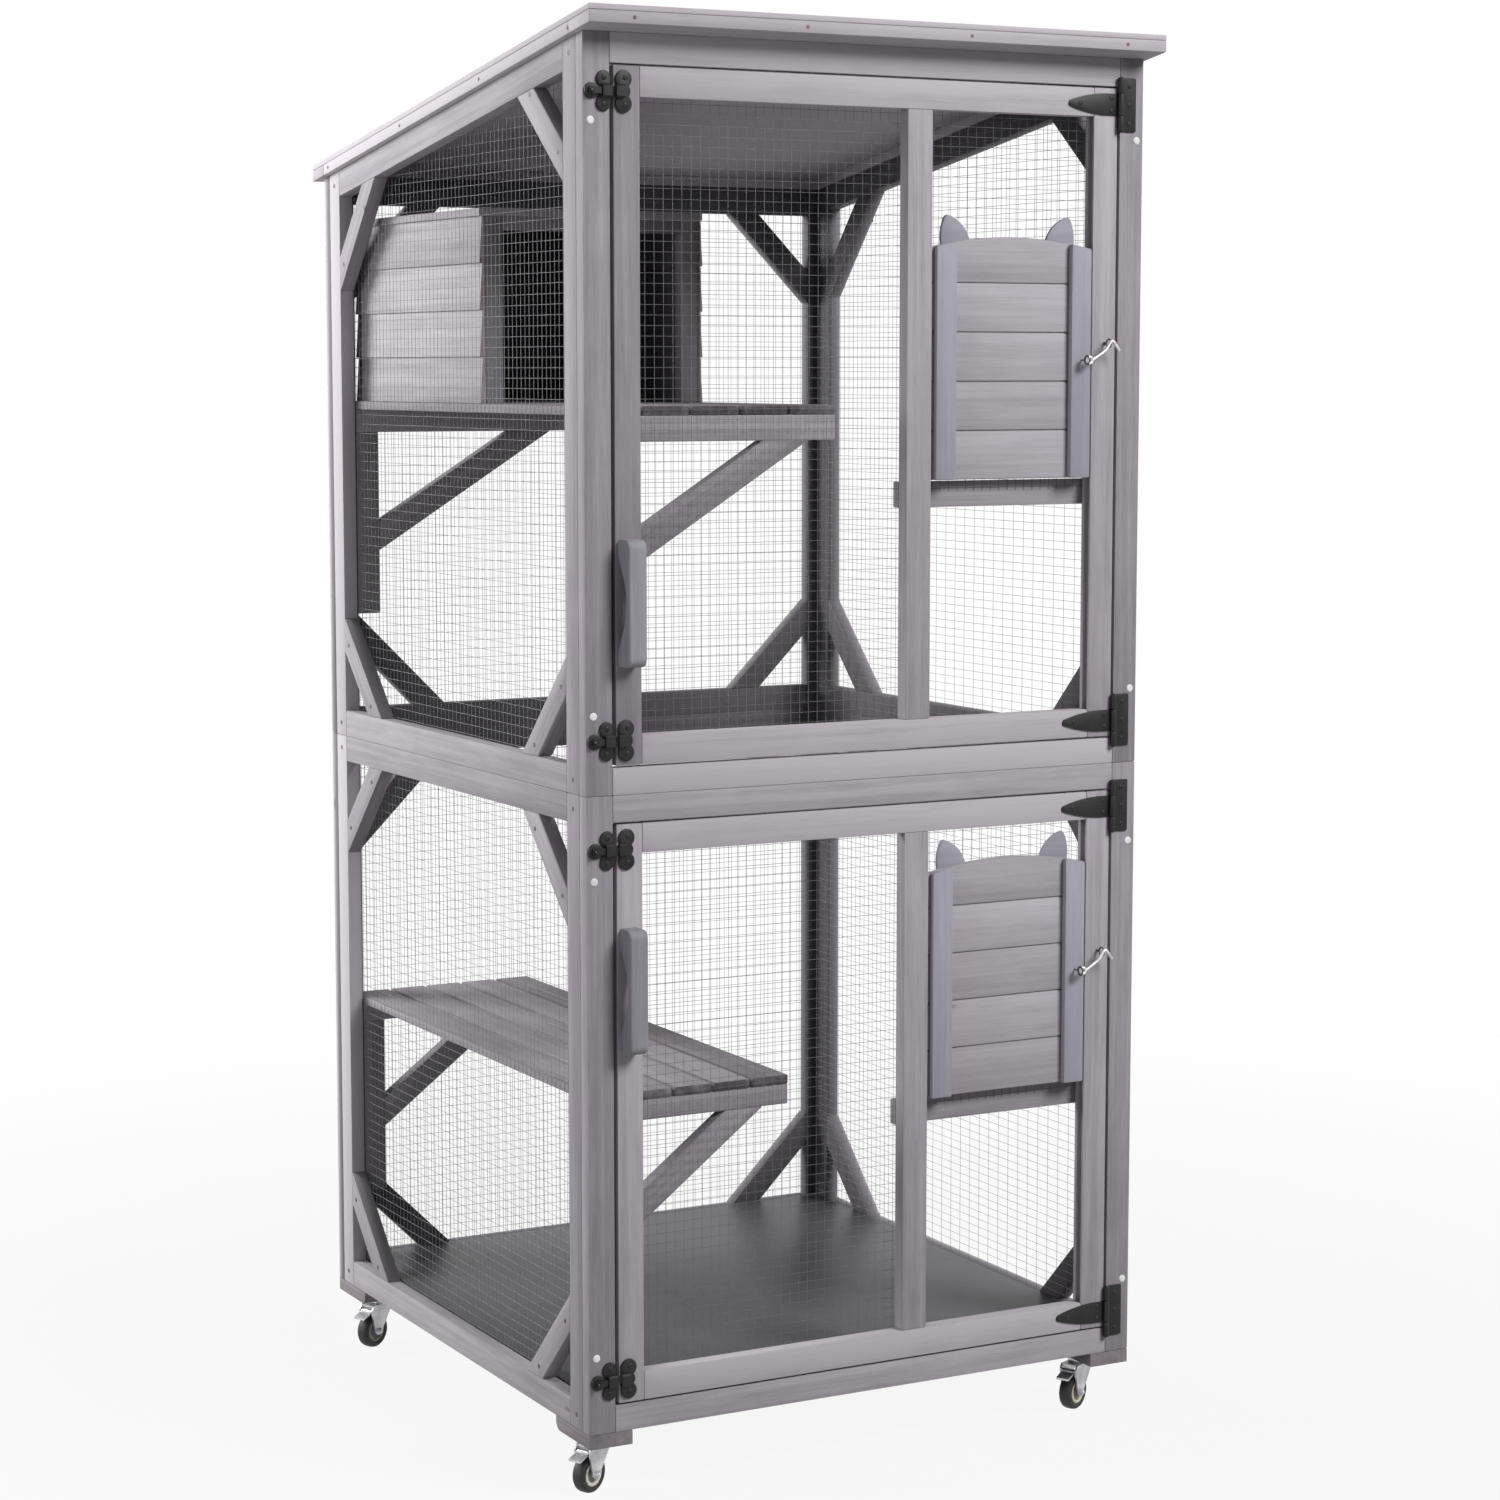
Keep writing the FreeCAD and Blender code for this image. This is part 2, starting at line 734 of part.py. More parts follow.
post_y = (house_y[0], house_y[0] + house_post_thick)
node("house_front", [
    plank("house_left_post", (house_x[0], house_x[0] + house_post), post_y, house_z),
    plank("house_right_post", (house_x[1] - house_post, house_x[1]), post_y, house_z),
    plank("house_beam", (house_x[0] + house_post, house_x[1] - house_post), post_y, (house_z[1] - house_beam, house_z[1])),
])
node("house_top", [plank("house_lid", house_x, house_y, (house_z[1], house_z[1] + house_roof))])

# Hinges, latches and hooks
hinge_y = front - hinge_stand
latch_back = front - latch_thick
channel_back = latch_back
channel_front = latch_back - bolt_thick - bolt_gap
leaf_pieces = []
base_pieces = []


def hinge(name, level):
    """One T-hinge at a height; returns the strap that moves with the door."""
    half_leaf = leaf_height / 2
    half_root = strap_root / 2
    plate_y = (front - metal_thick, front)
    leaf_start = gap_middle + knuckle_radius + knuckle_gap
    parts = [plank(name + "_leaf", (leaf_start, leaf_start + leaf_width), plate_y, (level - half_leaf, level + half_leaf))]
    for tag, low, high in (
        ("low", level - half_leaf, level - half_root - knuckle_gap),
        ("high", level + half_root + knuckle_gap, level + half_leaf),
    ):
        outside = rod("{}_{}_barrel".format(name, tag), knuckle_radius, gap_middle, hinge_y, (low, high))
        tab = plank("{}_{}_tab".format(name, tag), (gap_middle + pin_radius + knuckle_gap, leaf_start), plate_y, (low, high))
        parts.extend((outside, tab))
    bore = rod(name + "_bore", pin_radius, gap_middle, hinge_y, (level - half_leaf, level + half_leaf))
    leaf_pieces.append(cut(name + "_leaf_cut", fuse(name + "_leaf_body", parts), bore))
    leaf_pieces.append(rod(name + "_pin", pin_radius, gap_middle, hinge_y, (level - half_leaf, level + half_leaf)))
    end = gap_middle - strap_length
    waist = door_edge - strap_shoulder
    strap_corners = [
        (end, level - strap_tip / 2),
        (waist, level - half_root),
        (door_edge, level - half_root),
        (door_edge, level + half_root),
        (waist, level + half_root),
        (end, level + strap_tip / 2, strap_tip_round),
    ]
    plate = facing(name + "_strap_plate", strap_corners, front, metal_thick)
    outside = rod(name + "_strap_barrel", knuckle_radius, gap_middle, hinge_y, (level - half_root, level + half_root))
    bridge = plank(
        name + "_strap_bridge",
        (door_edge - knuckle_radius, gap_middle - pin_radius - knuckle_gap),
        (hinge_y, front),
        (level - half_root, level + half_root),
    )
    bore = rod(name + "_strap_bore", pin_radius + pin_gap, gap_middle, hinge_y, (level - half_root, level + half_root))
    return cut(name + "_strap", fuse(name + "_strap_body", [plate, outside, bridge]), bore)


def latch(name, level):
    """One clover latch at a height: base on the post, bolt in it; returns the keeper for the door."""
    plate_y = (front - latch_thick, front)
    post_face = post_width - half_width
    hub_x = post_face - base_lobe
    parts = []
    for tag, x, z in (
        ("high", hub_x, level + lobe_spread),
        ("low", hub_x, level - lobe_spread),
        ("left", hub_x - lobe_spread, level),
    ):
        parts.append(rod("{}_{}_lobe".format(name, tag), base_lobe, x, plate_y, z))
    parts.append(plank(
        name + "_middle",
        (hub_x - lobe_spread, post_face),
        plate_y,
        (level - guide_half, level + guide_half),
    ))
    guide_x = (post_face - guide_length, post_face)
    guide_y = (channel_front - guide_wall, front)
    parts.append(plank(name + "_guide", guide_x, guide_y, (level - guide_half, level + guide_half)))
    channel = plank(
        name + "_channel",
        (post_face - guide_length - lobe_spread, post_face + door_gap),
        (channel_front, channel_back),
        (level - bolt_half - bolt_gap, level + bolt_half + bolt_gap),
    )
    base_pieces.append(cut(name + "_base", fuse(name + "_base_body", parts), channel))

    bolt_tip = post_face - bolt_reach + 1.0
    bar = plank(
        name + "_bar",
        (bolt_tip - bolt_length, bolt_tip),
        (channel_front + bolt_gap / 2, channel_back - bolt_gap / 2),
        (level - bolt_half, level + bolt_half),
    )
    knob_x = bolt_tip - bolt_length + knob_radius + 1.0
    knob_front = channel_front + bolt_gap / 2 - knob_height
    knob = rod(name + "_knob", knob_radius, knob_x, (knob_front, channel_front + bolt_gap), level)
    node(name + "_bolt", [fuse(name + "_bolt_body", [bar, knob])])

    keeper_x = -door_edge + keeper_offset + keeper_lobe
    keeper_parts = [
        rod(name + "_keeper_high", keeper_lobe, keeper_x, plate_y, level + lobe_spread),
        rod(name + "_keeper_low", keeper_lobe, keeper_x, plate_y, level - lobe_spread),
        plank(name + "_keeper_bar", (keeper_x - keeper_lobe, keeper_x + keeper_lobe / 2), plate_y,
              (level - lobe_spread, level + lobe_spread)),
        plank(name + "_keeper_loop", (-door_edge + 1.0, keeper_x), guide_y, (level - guide_half, level + guide_half)),
    ]
    slot = plank(
        name + "_keeper_slot",
        (-door_edge - door_gap, keeper_x + keeper_lobe),
        (channel_front - bolt_gap, channel_back + bolt_gap),
        (level - bolt_half - 2.0 * bolt_gap, level + bolt_half + 2.0 * bolt_gap),
    )
    return cut(name + "_keeper", fuse(name + "_keeper_body", keeper_parts), slot)


def screw_eye(name, x, face, z, shank):
    """A screw eye standing off a face: a shank and a ring in the Y-Z plane."""
    ring_y = face - shank - eye_ring
    stem = rod(name + "_stem", hook_wire, x, (face - shank, face), z)
    loop = ring(name + "_ring", eye_ring, hook_wire, x, ring_y, z, (0, 1, 0), 90.0)
    return fuse(name, [stem, loop])


def hook_shape(x, y, z):
    """The bent wire of a hook from its ring centre, as numbers: ring, arm, bend and prong."""
    wire = hook_wire.value
    centre = FreeCAD.Vector(x.value, y.value, z.value)
    start = centre + FreeCAD.Vector(hook_ring.value, 0, 0)
    bend = centre + FreeCAD.Vector(hook_run.value * 0.72, 0, hook_climb.value * 0.46)
    peak = centre + FreeCAD.Vector(hook_run.value, 0, hook_climb.value)
    tip = peak + FreeCAD.Vector(prong_run.value, 0, -prong_fall.value)
    shape = Part.makeTorus(hook_ring.value, wire, centre, FreeCAD.Vector(0, 1, 0))
    pieces = []
    for first, last in ((start, bend), (bend, peak), (peak, tip)):
        along = last - first
        pieces.append(Part.makeCylinder(wire, along.Length, first, along))
        pieces.append(Part.makeSphere(wire, last))
    return shape.fuse(pieces).removeSplitter()


def cat_panel(word, door_bottom):
    """The sliding panel of one door: boards in grooves, two battens, two ears, a pivot eye and a hook."""
    low = door_bottom + cat_sill + crossbar_height
    board_x = (bay_left - tongue, bay_right + tongue)
    board_y = (front + board_setback, front + board_setback + board_thick)
    batten_y = (board_y[0] - batten_thick, board_y[0])
    arch = facing(word + "_arch", [
        (board_x[0], low),
        (board_x[1], low),
        (board_x[1], low + panel_shoulder, panel_rise),
        (board_x[0], low + panel_shoulder),
    ], board_y[1] + board_thick, board_thick * 5.0)
    pieces = []
    for index in range(4):
        level = low + index * board_height
        pieces.append(plank("{}_board_{}".format(word, index + 1), board_x, board_y, (level, level + board_height)))
    crown = plank(word + "_crown", board_x, board_y, (low + 4.0 * board_height, low + panel_shoulder + panel_rise * 2.0))
    pieces.append(common(word + "_board_5", crown, arch))
    left_batten = bay_left + batten_gap
    right_batten = bay_right - batten_gap - batten_width
    for tag, start in (("left", left_batten), ("right", right_batten)):
        blank = plank(
            "{}_{}_batten_blank".format(word, tag),
            (start, start + batten_width),
            batten_y,
            (low, low + panel_shoulder + panel_rise * 2.0),
        )
        pieces.append(common("{}_{}_batten".format(word, tag), blank, arch))
    foot = low + ear_foot
    tip = low + ear_tip
    left_ear = bay_left + ear_inset
    right_ear = bay_right - ear_inset
    pieces.append(facing(word + "_left_ear", [
        (left_ear, foot),
        (left_ear + ear_width, foot),
        (left_ear + ear_width, foot + ear_width / 2, ear_width / 6.5),
        (left_ear + ear_width * 0.24, tip, ear_width / 44),
        (left_ear + ear_width * 0.12, tip - ear_width / 16, ear_width / 18),
        (left_ear, foot + ear_width / 2),
    ], board_y[1] + ear_thick, ear_thick))
    pieces.append(facing(word + "_right_ear", [
        (right_ear - ear_width, foot),
        (right_ear, foot),
        (right_ear, foot + ear_width / 2, ear_width / 18),
        (right_ear - ear_width * 0.12, tip - ear_width / 16, ear_width / 44),
        (right_ear - ear_width * 0.24, tip, ear_width / 6.5),
        (right_ear - ear_width, foot + ear_width / 2),
    ], board_y[1] + ear_thick, ear_thick))
    node(word + "_cat_panel", pieces)
    eye_x = right_batten + batten_width / 2
    level = low + hook_level
    node(word + "_panel_eye", [screw_eye(word + "_pivot_eye", eye_x, batten_y[0], level, pivot_shank)])
    hook = DOC.addObject("Part::Feature", word + "_hook_wire")
    hook.Shape = hook_shape(eye_x + hook_ring, batten_y[0] - pivot_shank - eye_ring, level)
    node(word + "_hook", [hook])
    catch_x = eye_x + hook_ring + hook_run
    return screw_eye(word + "_catch_eye", catch_x, front, level + hook_climb - eye_ring, eye_shank)


def door(word, bottom, top, handle_level):
    """One front door: grooved frame, nets, crossbar, handle, straps, keepers and catch eye."""
    y = (front, front + lumber_thick)
    window = (bottom + door_member, top - door_member)
    groove_y = (front + board_setback - slide_gap, front + board_setback + board_thick + slide_gap)
    right_groove = plank(word + "_right_groove", (bay_right - groove_depth, bay_right + groove_depth), groove_y, window)
    left_groove = plank(word + "_left_groove", (bay_left - groove_depth, bay_left + groove_depth), groove_y, window)
    right_stile = plank(word + "_right_stile_blank", (bay_right, door_edge), y, (bottom, top))
    middle = plank(word + "_middle_stile_blank", (middle_stile, bay_left), y, window)
    rear = front + lumber_thick + net_wire
    crossbar_low = bottom + cat_sill
    node(word + "_door_frame", [
        plank(word + "_left_stile", (-door_edge, door_member - door_edge), y, (bottom, top)),
        cut(word + "_right_stile", right_stile, right_groove),
        cut(word + "_middle_stile", middle, left_groove),
        plank(word + "_door_sill", (door_member - door_edge, bay_right), y, (bottom, window[0])),
        plank(word + "_door_head", (door_member - door_edge, bay_right), y, (window[1], top)),
        plank(word + "_crossbar", (middle_stile, door_edge - crossbar_inset), (rear, rear + crossbar_thick),
              (crossbar_low, crossbar_low + crossbar_height)),
    ])

    def point(across, up):
        return FreeCAD.Vector(across, front.value + lumber_thick.value, up)

    thrust = FreeCAD.Vector(0, net_wire.value, 0)
    lap = door_net_lap.value

    def head(across):
        return window[1].value + lap

    left_span = (-door_edge.value + door_member.value - lap, middle_stile.value + lap)
    right_span = (bay_left.value - lap, bay_right.value + lap)
    node(word + "_door_mesh", [
        net_sheet(word + "_left_net", point, thrust, left_span, window[0].value - lap, head),
        net_sheet(word + "_right_net", point, thrust, right_span, (crossbar_low + crossbar_lap).value, head),
    ])

    middle_level = bottom + handle_level
    ends = (middle_level - handle_height / 2, middle_level + handle_height / 2)
    grip = (middle_level - grip_length / 2, middle_level + grip_length / 2)
    arc_rise = handle_round * 0.29289
    handle_corners = [
        (front, ends[0]),
        (front, grip[0], -grip_depth),
        (front, grip[1]),
        (front, ends[1]),
        (front - handle_depth + handle_round, ends[1], arc_rise),
        (front - handle_depth, ends[1] - handle_round),
        (front - handle_depth, ends[0] + handle_round, arc_rise),
        (front - handle_depth + handle_round, ends[0]),
    ]
    handle_x = handle_inset - door_edge - handle_width / 2
    node(word + "_door_handle", [sideways(word + "_grip", handle_corners, handle_x, handle_width)])
    fittings = [
        hinge(word + "_top_hinge", top - hinge_inset),
        hinge(word + "_bottom_hinge", bottom + hinge_inset),
        latch(word + "_top", top - latch_inset),
        latch(word + "_bottom", bottom + latch_inset),
        cat_panel(word, bottom),
    ]
    node(word + "_door_fittings", fittings)


door("lower", ground + front_rail + door_gap, storey - front_rail - door_gap, lower_handle_level)
door("upper", storey + front_rail + door_gap, eaves - header_height - door_gap, upper_handle_level)
node("hinge_leaves", leaf_pieces)
node("latch_bases", base_pieces)

# Casters under four corner blocks
axle_z = wheel_radius - caster_height
cheek_y = wheel_width / 2 + fork_gap
block_pieces = []
plate_pieces = []


def caster(word, left_side, at_front):
    """One braked caster, built around its swivel axis and turned as a whole."""
    x = swivel_inset - half_width if left_side else half_width - swivel_inset
    y = front + swivel_setback if at_front else back - swivel_setback
    block_x = -half_width if left_side else half_width - block_width
    near = front if at_front else back
    sense = 1.0 if at_front else -1.0
    far = near + sense * block_length
    block_corners = [
        (near, caster_height),
        (far - sense * block_round, caster_height, block_round * 0.29289),
        (far, caster_height + block_round),
        (far, ground),
        (near, ground),
    ]
    if not at_front:
        block_corners = [
            (near, caster_height),
            (near, ground),
            (far, ground),
            (far, caster_height + block_round, block_round * 0.29289),
            (far - sense * block_round, caster_height),
        ]
    block_pieces.append(sideways(word + "_block", block_corners, block_x, block_width))
    half_plate = plate_side / 2
    plate_low = caster_height - plate_thick
    race_low = plate_low - race_height
    fork_top = race_low - swivel_gap
    fork_low = fork_top - fork_thick
    plate = plank(word + "_plate", (x - half_plate, x + half_plate), (y - half_plate, y + half_plate), (plate_low, caster_height))
    race = rod(word + "_race", race_radius, x, y, (race_low, plate_low))
    king = rod(word + "_kingpin", kingpin_radius, x, y, (fork_low - swivel_gap - rivet_height, race_low))
    rivet = rod(word + "_rivet", rivet_radius, x, y, (fork_low - swivel_gap - rivet_height, fork_low - swivel_gap))
    plate_pieces.append(fuse(word + "_top_plate", [plate, race, king, rivet]))

    local_axle = axle_z + caster_height
    outer_y = cheek_y + fork_thick
    pivot = (-pedal_pivot_x, caster_height - pedal_pivot_drop)
    crown = plank(word + "_crown", (-pedal_pivot_x, fork_half), (-outer_y, outer_y), (fork_low, fork_top))
    cheek_corners = [
        (-trail - axle_boss, local_axle, axle_boss * 0.8),
        (-trail + axle_boss, local_axle),
        (fork_half, fork_low),
        (fork_half, fork_top),
        (-pedal_pivot_x, fork_top),
        (-pedal_pivot_x - pedal_barrel, pivot[1] + pedal_barrel),
        (-pedal_pivot_x - pedal_barrel, pivot[1] - pedal_barrel),
    ]
    cheeks = [
        facing(word + "_left_cheek", cheek_corners, outer_y, fork_thick),
        facing(word + "_right_cheek", cheek_corners, -cheek_y, fork_thick),
    ]
    body = fuse(word + "_fork_body", [crown] + cheeks)
    holes = fuse(word + "_fork_holes", [
        rod(word + "_king_hole", kingpin_radius + pin_gap, 0, 0, (fork_low - 1.0, fork_top + 1.0)),
        rod(word + "_axle_hole", axle_radius, -trail, (-outer_y, outer_y), local_axle),
        rod(word + "_pedal_hole", pedal_pin, pivot[0], (-outer_y, outer_y), pivot[1]),
    ])
    fork = node(word + "_fork", [
        cut(word + "_fork_cut", body, holes),
        rod(word + "_axle", axle_radius, -trail, (-outer_y, outer_y), local_axle),
        rod(word + "_pedal_pin", pedal_pin, pivot[0], (-outer_y, outer_y), pivot[1]),
    ])

    half_wheel = wheel_width / 2
    bulge = tyre_round * 0.29289
    tyre_body, tyre_sketch = sketched_body(word + "_tyre", [
        (-half_wheel, hub_radius),
        (half_wheel, hub_radius),
        (half_wheel, wheel_radius - tyre_round, bulge),
        (half_wheel - tyre_round, wheel_radius),
        (tyre_round - half_wheel, wheel_radius, bulge),
        (-half_wheel, wheel_radius - tyre_round),
    ])
    hub_body, hub_sketch = sketched_body(word + "_hub", [
        (-hub_width / 2, axle_radius + pin_gap),
        (hub_width / 2, axle_radius + pin_gap),
        (hub_width / 2, hub_radius),
        (-hub_width / 2, hub_radius),
    ])
    for wheel_body, sketch in ((tyre_body, tyre_sketch), (hub_body, hub_sketch)):
        turned = wheel_body.newObject("PartDesign::Revolution", wheel_body.Name + "_turned")
        turned.Profile = sketch
        turned.ReferenceAxis = (sketch, ["H_Axis"])
        turned.Angle = 360.0
        sketch.Visibility = False
        place(wheel_body, -trail, 0, local_axle, (1, 1, 1), 120.0)
    wheel = node(word + "_wheel", [tyre_body, hub_body])

    tread_half = cheek_y - pedal_side_gap
    barrel = rod(word + "_pedal_barrel", pedal_barrel, pivot[0], (-tread_half, tread_half), pivot[1])
    tread = facing(word + "_pedal_tread", [
        (pivot[0] - pedal_length, pivot[1] - pedal_fall),
        (pivot[0], pivot[1] - pedal_thick / 2),
        (pivot[0], pivot[1] + pedal_thick / 2),
        (pivot[0] - pedal_length, pivot[1] - pedal_fall + pedal_thick),
    ], tread_half, tread_half * 2.0)
    pedal_body = fuse(word + "_pedal_body", [barrel, tread])
    pedal_bore = rod(word + "_pedal_bore", pedal_pin + pin_gap, pivot[0], (-outer_y, outer_y), pivot[1])
    pedal = node(word + "_pedal", [cut(word + "_pedal_cut", pedal_body, pedal_bore)])
    for moving in (fork, wheel, pedal):
        place(moving, x, y, 0, (0, 0, 1), caster_turn.value)
        bind(moving, "Placement.Rotation.Angle", caster_turn)


for caster_word, on_left, in_front in (
    ("front_left", True, True),
    ("front_right", False, True),
    ("back_left", True, False),
    ("back_right", False, False),
):
    caster(caster_word, on_left, in_front)
node("caster_blocks", block_pieces)
node("caster_plates", plate_pieces)

# Screw caps on the posts, nails along the roof trim
cap_pieces = []
cap_x = half_width - lumber_thick / 2
for cap_word, level in (
    ("lower_low", ground + cap_low),
    ("lower_high", storey - cap_high),
    ("upper_low", storey + cap_low),
    ("upper_high", roof_line(back) - cap_high),
):
    for side_word, x_place in (("left", -cap_x), ("right", cap_x)):
        tag = "{}_{}".format(cap_word, side_word)
        front_level = level if cap_word != "upper_high" else eaves - cap_high
        cap_pieces.append(rod(tag + "_front_cap", cap_radius, x_place, (front - cap_height, front), front_level))
        cap_pieces.append(rod(tag + "_back_cap", cap_radius, x_place, (back, back + cap_height), level))
for index in range(nail_count):
    share = index / (nail_count - 1.0)
    x_place = nail_end - roof_x + share * (2.0 * roof_x - 2.0 * nail_end)
    y_place = roof_y[0] + nail_end + share * (roof_y[1] - roof_y[0] - 2.0 * nail_end)
    nail_z = roof_line(roof_y[0]) + trim_height / 2
    cap_pieces.append(rod("front_nail_{}".format(index + 1), nail_radius, x_place, (roof_y[0] - nail_height, roof_y[0]), nail_z))
    back_z = roof_line(roof_y[1]) + trim_height / 2
    cap_pieces.append(rod("back_nail_{}".format(index + 1), nail_radius, x_place, (roof_y[1], roof_y[1] + nail_height), back_z))
    side_z = roof_line(y_place) + trim_height / 2
    for side_word, x_span in (("left", (-roof_x - nail_height, -roof_x)), ("right", (roof_x, roof_x + nail_height))):
        cap_pieces.append(rod("{}_nail_{}".format(side_word, index + 1), nail_radius, x_span, y_place, side_z))
node("frame_screws", cap_pieces)

DOC.recompute()

faults = []
for item in DOC.Objects:
    if "Invalid" in item.State or "Error" in item.State:
        faults.append(item.Name)
for item in NODES:
    if item.Shape.isNull() or not item.Shape.isValid() or not item.Shape.Solids:
        faults.append(item.Name)
if faults:
    raise RuntimeError("pieces that did not build: " + ", ".join(sorted(set(faults))))
for item in NODES:
    item.Shape.exportStep("parts/{}.step".format(item.Label))
print("nodes", len(NODES), "solids", sum(len(item.Shape.Solids) for item in NODES))
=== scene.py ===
import logging
import math
from dataclasses import dataclass
from enum import Enum
from typing import Optional, Sequence, Union

import bpy
import numpy as np
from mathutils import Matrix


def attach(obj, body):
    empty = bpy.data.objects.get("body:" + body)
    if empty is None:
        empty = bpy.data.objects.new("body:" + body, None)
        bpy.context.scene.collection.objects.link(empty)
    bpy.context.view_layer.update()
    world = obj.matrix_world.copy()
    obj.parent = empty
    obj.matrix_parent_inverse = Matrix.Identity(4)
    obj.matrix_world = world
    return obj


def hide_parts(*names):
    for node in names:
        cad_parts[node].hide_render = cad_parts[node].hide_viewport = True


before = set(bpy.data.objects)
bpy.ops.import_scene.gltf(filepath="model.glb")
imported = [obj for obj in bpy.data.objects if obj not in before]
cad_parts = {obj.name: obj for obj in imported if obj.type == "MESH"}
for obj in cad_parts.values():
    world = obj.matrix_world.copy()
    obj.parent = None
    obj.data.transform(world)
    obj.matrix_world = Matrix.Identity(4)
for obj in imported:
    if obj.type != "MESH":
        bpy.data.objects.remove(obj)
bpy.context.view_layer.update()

# Looks of a walk-in cat enclosure: stained timber, welded nets, ironwork and casters round the
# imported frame. Lengths are in millimetres until a mesh is made; the frame's axes are +X right,
# +Y back, +Z up.

LOG = logging.getLogger("cat_enclosure")
MM = 0.001
LOT = np.random.default_rng(1807)

Span = tuple[float, float]
Place = tuple[float, float, float]
Cut = tuple[float, float, float]
Colour = tuple[float, float, float, float]
Outline = Sequence[Sequence[float]]

TO_RIGHT: Place = (1.0, 0.0, 0.0)
TO_BACK: Place = (0.0, 1.0, 0.0)
TO_FRONT: Place = (0.0, -1.0, 0.0)
UPWARD: Place = (0.0, 0.0, 1.0)
# Across, thick and along of an outline in (X, Z) that is carried forward.
UPRIGHT = np.array([TO_RIGHT, UPWARD, TO_FRONT])
# A direction that no wire runs in.
SKEW = np.array([0.37, 0.61, 0.70])
# A board's six rings: how far each is drawn in and how far from its end it lies, as shares of
# the edge's rounding.
EDGE_SHARES = np.array([1.0, 0.293, 0.0, 0.0, 0.293, 1.0])
DEPTH_SHARES = np.array([0.0, 0.293, 1.0, 1.0, 0.293, 0.0])


def srgb(red: float, green: float, blue: float) -> Colour:
    """Turn a colour as seen on screen, 0 to 255, into linear light."""
    shares = np.array([red, green, blue]) / 255.0
    linear = np.where(shares <= 0.04045, shares / 12.92, ((shares + 0.055) / 1.055) ** 2.4)
    return (float(linear[0]), float(linear[1]), float(linear[2]), 1.0)


class Signal:
    """One output of a material's nodes, usable in Python arithmetic."""

    def __init__(self, tree: bpy.types.NodeTree, socket: bpy.types.NodeSocket) -> None:
        """Keep the tree and the socket."""
        self.tree = tree
        self.socket = socket

    def _math(self, operation: str, first: "Value", second: "Value") -> "Signal":
        """Add one Math node.

        Args:
            operation: The node's operation.
            first: Its first value.
            second: Its second value.

        Returns:
            The node's result.
        """
        node = self.tree.nodes.new("ShaderNodeMath")
        node.operation = operation
        feed(self.tree, node.inputs[0], first)
        feed(self.tree, node.inputs[1], second)
        return Signal(self.tree, node.outputs[0])

    def __add__(self, other: "Value") -> "Signal":
        """Add two values."""
        return self._math("ADD", self, other)

    def __radd__(self, other: "Value") -> "Signal":
        """Add a number in front."""
        return self._math("ADD", other, self)

    def __sub__(self, other: "Value") -> "Signal":
        """Subtract a value."""
        return self._math("SUBTRACT", self, other)

    def __mul__(self, other: "Value") -> "Signal":
        """Multiply two values."""
        return self._math("MULTIPLY", self, other)

    def __rmul__(self, other: "Value") -> "Signal":
        """Multiply with a number in front."""
        return self._math("MULTIPLY", other, self)


Value = Union[float, Signal]


def feed(tree: bpy.types.NodeTree, slot: bpy.types.NodeSocket, item: object) -> None:
    """Link a signal to a socket, or set a plain value on it.

    Args:
        tree: The node tree.
        slot: The socket to feed.
        item: A Signal, a number or a tuple.
    """
    if isinstance(item, Signal):
        tree.links.new(item.socket, slot)
    else:
        slot.default_value = item


